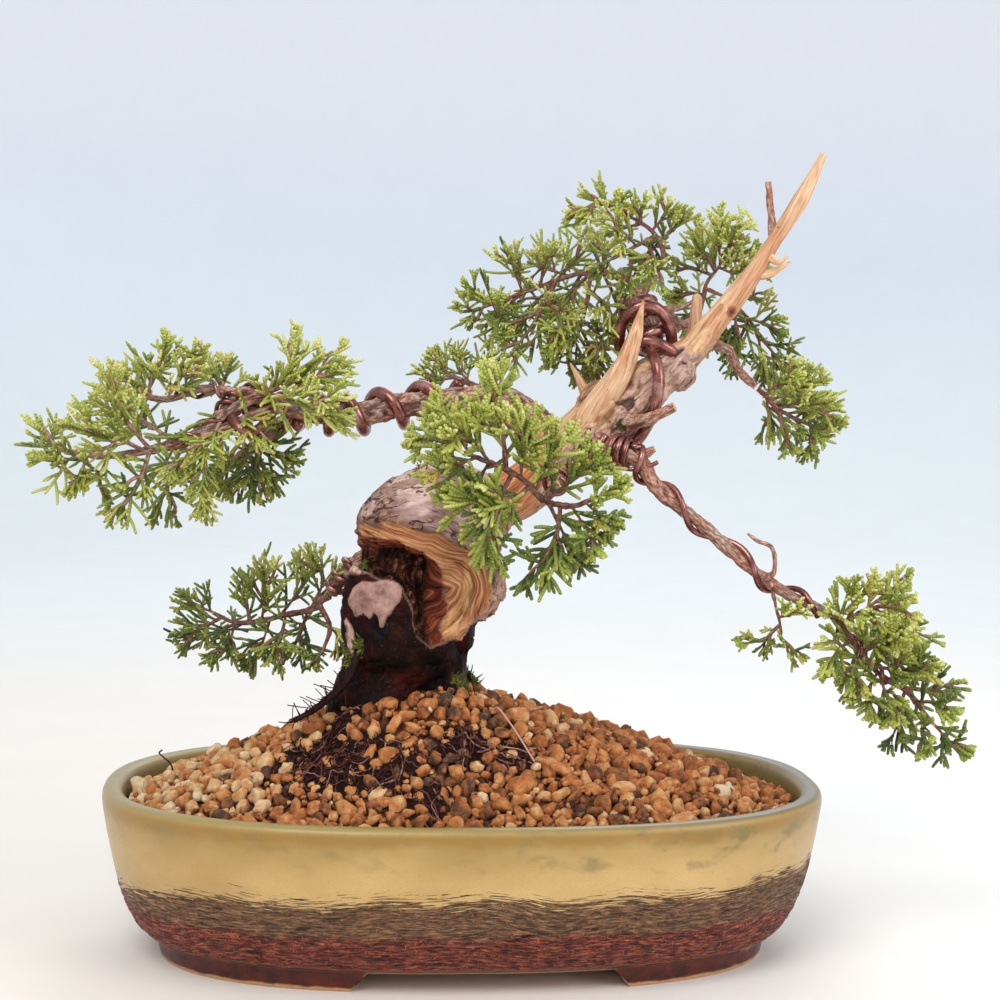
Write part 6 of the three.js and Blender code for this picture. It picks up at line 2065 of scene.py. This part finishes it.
            [(109, 16, 181), (109, 12, 173.5), (112.5, 10, 167.5)],
            [(107, 16.3, 182.6), (116, 32, 185), (125.5, 40, 184.5)],
            [(112.5, 16, 178.9), (121.5, 30, 176), (128.5, 36, 172.5)],
            [(104, 17.2, 185.6), (107, 26, 180), (110, 30, 173.5)],
            [(117.2, 14.2, 174), (119.5, 12, 170.5), (117, 10, 166)],
        ],
    },
    "foliage_cascade": {
        "seed": 83, "cord": 0.62, "longest": 12.5, "spacing": 3.7, "stem_share": 0.85, "tone": 0.04,
        "stems": [
            [
                (120.7, -18, 113.9, 1.5), (127.5, -18, 106, 1.4), (134, -18, 97.5, 1.2),
                (140, -18, 92.5, 1.1), (146, -18, 89, 1), (156.5, -18, 77.5, 0.8),
            ],
            [(123.5, -18, 110.6, 1.1), (129.5, -22, 116, 0.9), (135, -26, 118.5, 0.7)],
        ],
        "twigs": [
            [(125, -19, 112), (128, -22, 120), (132.5, -22, 126)],
            [(129.5, -22, 116), (137, -22, 121), (145, -20, 123.5)],
            [(134.6, -25.8, 118.3), (139, -32, 118.5), (143.5, -34, 116)],
            [(133, -24.6, 117.7), (143, -14, 110.5), (149.5, -10, 105)],
            [(127.5, -18, 106), (120.5, -28, 104), (116.5, -32, 99)],
            [(130.5, -18, 102), (135, -32, 108), (141, -38, 109)],
            [(132.5, -18, 99.5), (130, -8, 93.5), (129.5, -4, 85.5)],
            [(134, -18, 97.5), (144, -8, 99.5), (156, -2, 100.5)],
            [(136.5, -18, 95.4), (131, -28, 90), (132, -30, 83.5)],
            [(140, -18, 92.5), (145.5, -28, 98), (151.5, -32, 96)],
            [(143, -18, 90.8), (153.5, -10, 88), (164.5, -6, 86.5)],
            [(146, -18, 89), (145.5, -12, 79.5), (149, -10, 71.5)],
            [(149.5, -18, 85.2), (154.5, -26, 86), (158, -28, 82)],
            [(153, -18, 81.3), (150.5, -24, 76), (151.5, -26, 71)],
            [(156, -18, 78), (160.5, -18, 73), (166, -18, 67)],
            [(127.5, -18, 106), (133, -26, 107), (138, -30, 104)],
            [(131, -18, 101.5), (126, -26, 97), (125, -30, 92)],
            [(134, -18, 97.5), (139, -27, 98), (143, -31, 101)],
            [(129.5, -22, 116), (134, -28, 112), (139, -31, 112)],
            [(137, -18, 94.8), (138, -26, 88), (141, -30, 82)],
            [(124, -18, 110), (122, -24, 115), (126, -28, 119)],
            [(134, -18, 97.5), (136.5, -2, 100), (141, 6, 104)],
        ],
    },
    "foliage_behind": {
        "seed": 97, "cord": 0.44, "longest": 14, "spacing": 2.9, "stem_share": 1, "tone": 0.1,
        "stems": [
            [(10.3, 24.3, 185.6, 1.3), (2.5, 28, 188.5, 1), (-5.5, 30, 191.5, 0.8)],
        ],
        "twigs": [
            [(-5, 29.9, 191.3), (-8, 30, 194.5), (-9.5, 30, 199)],
            [(2.5, 28, 188.5), (-1.5, 32, 193.5), (-2.5, 34, 199)],
            [(-2.5, 29.2, 190.4), (-9, 26, 190), (-16, 24, 192)],
            [(5.5, 26.6, 187.4), (7.5, 34, 192.5), (10.5, 38, 195)],
        ],
    },
    "foliage_tuft": {
        "seed": 101, "cord": 0.46, "longest": 8, "spacing": 2.9, "stem_share": 0.7, "tone": 0.12,
        "stems": [
            [(100.3, -18, 122.2, 1), (101.5, -18, 117, 0.9), (103, -18, 112, 0.8), (103.5, -18, 106, 0.7)],
        ],
        "twigs": [
            [(103, -18, 111), (97.5, -16, 105.5), (91.5, -14, 106)],
            [(103.5, -18, 106.4), (106, -22, 104), (108, -24, 101)],
            [(102.5, -18, 113.4), (105.5, -22, 115), (108, -24, 118.5)],
        ],
    },
}


def add_cords(shell, starts, directions, lengths, bends, rows, sides, radius, tones, base_share, old):
    """Scale-leaf cords: round, a little fuller in the middle, and blunt."""
    # Rings lie close together at a cord's end, where it rounds off.
    shares = np.append(np.linspace(0, 0.93, rows - 1), 1.0)
    paths = arcs(starts, directions, lengths, bends, shares)
    profile = 0.84 + 0.2 * np.sin(np.pi * shares**0.8)
    profile[-1] = 0.46
    reach = shares[None] * lengths[:, None]
    scales = 1 + 0.05 * np.sin(2 * np.pi * shares[None] * lengths[:, None] / 2.1 + tones[:, None] * 40)
    tip = np.repeat(base_share + (1 - base_share) * shares[None], len(paths), axis=0)
    values = {"tone": tones, "tip": tip, "reach": reach, "old": old}
    values = {name: spread(value, rows, sides) for name, value in values.items()}
    shell.add(*tubes(paths, radius * profile[None] * scales, sides), **values)


def add_shoots(shell, random, starts, directions, lengths, flats, tones, old, thickness):
    """Forked shoots: a main cord, finger cords to left and right in turn, and smaller ones on those."""
    count = len(starts)
    lateral = unit(np.cross(flats, directions))
    flats = unit(np.cross(directions, lateral))
    bends = 0.12 * flats * random.uniform(-1, 1, (count, 1))
    bends = bends + 0.1 * lateral * random.uniform(-1, 1, (count, 1))
    bends = bends + 0.1 * UP * random.uniform(-0.3, 1.2, (count, 1))
    add_cords(shell, starts, directions, lengths, bends, 10, 6, thickness, tones, 0.0, old)
    first = random.choice([-1.0, 1.0], count)
    for k, at in enumerate(np.linspace(0.17, 0.75, 4)):
        kept = random.random(count) > 0.14
        share = (at + random.uniform(-0.05, 0.05, count))[:, None]
        tangent = unit(directions + 2 * bends * share)
        base = starts + lengths[:, None] * (directions * share + bends * share**2)
        sign = (first * (-1) ** k)[:, None]
        angle = np.radians(random.uniform(26, 50, count))[:, None]
        lift = flats * random.uniform(-0.42, 0.42, (count, 1))
        out = unit(tangent * np.cos(angle) + lateral * sign * np.sin(angle) + lift)
        reach = np.minimum(lengths * (0.78 - 0.42 * at), 9.5) * random.uniform(0.65, 1.3, count)
        inward = 0.16 * (tangent - out) + 0.05 * random.normal(size=(count, 3))
        side_tones = np.clip(tones + random.normal(0, 0.06, count), 0, 1)
        places = base[kept], out[kept], reach[kept], inward[kept]
        add_cords(shell, *places, 7, 6, 0.95 * thickness, side_tones[kept], 0.35, old[kept])
        across = unit(np.cross(flats, out))
        small = kept & (reach > 4.5) & (random.random(count) < 0.3)
        base = base + reach[:, None] * (out * 0.4 + inward * 0.16)
        turn = np.radians(random.uniform(26, 42, count))[:, None]
        side = sign * random.choice([-1.0, 1.0], (count, 1))
        out_two = out * np.cos(turn) + across * side * np.sin(turn)
        out_two = unit(out_two + 0.14 * random.normal(size=(count, 3)))
        reach = reach * random.uniform(0.45, 0.65, count)
        places = base[small], out_two[small], reach[small], 0.15 * (out - out_two)[small]
        add_cords(shell, *places, 5, 5, 0.9 * thickness, side_tones[small], 0.55, old[small])


def leaf_material():
    """Green cords, paler towards their tips, some of them dry, with rusty joints."""
    f = Finish("scale_leaves", Subsurface_Weight=0.1, Subsurface_Scale=0.001)
    here = f.place()
    tip = f.value("tip")
    wander = f.times(f.noise(here, 0.8), 5.0)
    scales = f.math("SINE", f.plus(f.times(f.value("reach"), 5.8), wander))
    fine = f.noise(here, 2.4, 3.0, 0.6)
    level = f.varied(f.value("tone"), tip, 0.3)
    level = f.varied(level, fine, 0.24)
    level = f.plus(level, f.times(scales, 0.05))
    colour = f.ramp(
        level,
        (0.0, 32, 46, 20), (0.2, 62, 80, 30), (0.4, 106, 121, 45), (0.6, 150, 158, 62),
        (0.8, 178, 183, 82), (1.0, 208, 208, 126),
    )
    dry = f.ramp(fine, (0.3, 158, 124, 50), (0.6, 194, 172, 78))
    colour = f.mix(f.times(f.value("old"), 0.75), colour, dry)
    junction = f.times(f.range(tip, 0.15, 0.0), f.range(f.noise(here, 0.16, 2.0), 0.42, 0.6))
    colour = f.mix(f.times(junction, 0.85), colour, (166, 98, 46))
    return f.finish(colour, f.range(fine, 0.3, 0.7, 0.42, 0.6), f.bump(scales, 0.14, 0.8))


def side_twigs(random, twig):
    """Short twigs that leave a twig to its sides; they fill the pad between the main ones."""
    steps = 20
    at = stations(twig, count=steps)
    reach = np.linalg.norm(twig[-1] - twig[0])
    made = []
    turn = random.uniform(0, 2 * np.pi)
    for share in (0.36, 0.66):
        i = round(share * steps)
        turn += random.uniform(1.9, 2.9)
        across = at["side"][i] * math.cos(turn) + at["across"][i] * math.sin(turn)
        away = unit(at["along"][i] * 0.75 + across * 0.75)
        length = reach * random.uniform(0.36, 0.55)
        start = at["place"][i]
        end = start + length * unit(away + 0.3 * at["along"][i])
        made.append(np.array([start, start + 0.5 * length * away, end]))
    return made


def shoots_on(random, twig, longest, spacing):
    """Rows of (place, direction, length, share) of the shoots that stand along a twig."""
    reach = np.linalg.norm(twig[-1] - twig[0])
    count = max(3, round(reach / spacing))
    first, last = 0.14, 0.84
    at = stations(twig, start=first, end=last, count=count - 1)
    rows = []
    for i in range(count):
        share = i / (count - 1)
        left = reach * (1 - lerp(first, last, share))
        angle = GOLDEN_ANGLE * i + random.random() * 1.4
        spreading = lerp(0.85, 0.28, share**2)
        around = at["side"][i] * math.cos(angle) + at["across"][i] * math.sin(angle)
        along = at["along"][i]
        rising = UP * (0.16 + 0.1 * along[2])
        direction = along * lerp(0.75, 1.3, share) + spreading * around + rising
        length = min(longest * random.uniform(0.65, 1.1), left + 2.5)
        rows.append((*at["place"][i], *direction, length, share))
    return rows


def pad_stems(name, spec, twigs, finish):
    """The stems of a pad and the bare lower parts of its twigs."""
    shell = Shell()
    for points in spec["stems"]:
        thinner = [(*place, radius * spec["stem_share"]) for *place, radius in points]
        limb_mesh(shell, thinner, 18, 0.5, stem_relief)
    for twig in twigs:
        last = len(twig) - 1
        ends = LONG_TWIG if last > 2 else SHORT_TWIG
        shaped = [(*place, lerp(*ends, i / last)) for i, place in enumerate(twig)]
        limb_mesh(shell, shaped, 8, 0.9, twig_relief, end=0.8)
    piece(f"{name}_stems", shell.mesh(f"{name}_stems"), finish, [name])


def leafy_ends(shell, twigs):
    """The outer parts of the twigs, which are green."""
    for twig in twigs:
        place = stations(twig, start=0.4, end=1.0, step=1.0)["place"]
        count = len(place)
        radii = np.linspace(0.8, 0.48, count)
        reach = spread(np.arange(count)[None], count, 6)
        shell.add(*tubes(place[None], radii[None], 6), tone=0.42, tip=0.12, old=0.15, reach=reach)


def pad(name, spec, leaf_finish, bark_finish):
    """One foliage pad: its stems, and its shoots in pieces of a moderate size."""
    random = np.random.default_rng(spec["seed"])
    twigs = [np.array(twig, float) for twig in spec["twigs"]]
    sides = [made for twig in twigs for made in side_twigs(random, twig)]
    pad_stems(name, spec, twigs + sides, bark_finish)
    rows = []
    for group, longest in ((twigs, spec["longest"]), (sides, 0.76 * spec["longest"])):
        for twig in group:
            rows += shoots_on(random, twig, longest, spec["spacing"])
    rows = np.array(rows)
    count = len(rows)
    starts, directions, lengths, shares = rows[:, :3], unit(rows[:, 3:6]), rows[:, 6], rows[:, 7]
    everything = np.vstack(twigs)
    middle = everything.mean(axis=0)
    height = (starts[:, 2] - middle[2]) / (np.ptp(everything[:, 2]) + 1)
    forward = -(starts[:, 1] - middle[1]) / 40
    # Painted light and shade: shoots higher up and further forward in the pad are paler, lower and further
    # back darker; they are also paler further along their twigs.
    tones = 0.45 + spec["tone"] + 0.42 * height + 0.2 * forward + 0.14 * shares
    tones = np.clip(tones + random.normal(0, 0.1, count), 0.02, 0.92)
    old = np.where(random.random(count) < 0.06, random.uniform(0.4, 1.0, count), 0.0)
    flats = unit(np.array([0, -0.35, 1.0]) + 0.5 * random.normal(size=(count, 3)))
    groups = np.array_split(np.arange(count), max(1, math.ceil(count / MOST_SHOOTS)))
    for number, group in enumerate(groups):
        leaves = Shell()
        shoots = (values[group] for values in (starts, directions, lengths, flats, tones, old))
        add_shoots(leaves, random, *shoots, spec["cord"])
        if number == 0:
            leafy_ends(leaves, twigs)
        made = f"{name}_sprays" if len(groups) == 1 else f"{name}_sprays_{number + 1}"
        piece(made, leaves.mesh(made), leaf_finish, [name])


def all_foliage(old_bark):
    """Every pad, on the old bark of the branches or on its own young bark."""
    leaf_finish = leaf_material()
    young_bark = branch_material("young_bark", 0.55)
    for name, spec in PADS.items():
        pad(name, spec, leaf_finish, old_bark if name == "foliage_left" else young_bark)


pot()
drain_meshes()
soil_bed()
granules()
fine_roots()
trunk_points = trunk()
jins()
branch_bark = branch_material("branch_bark", 0.0)
branches(branch_bark)
wires(trunk_points)
all_foliage(branch_bark)
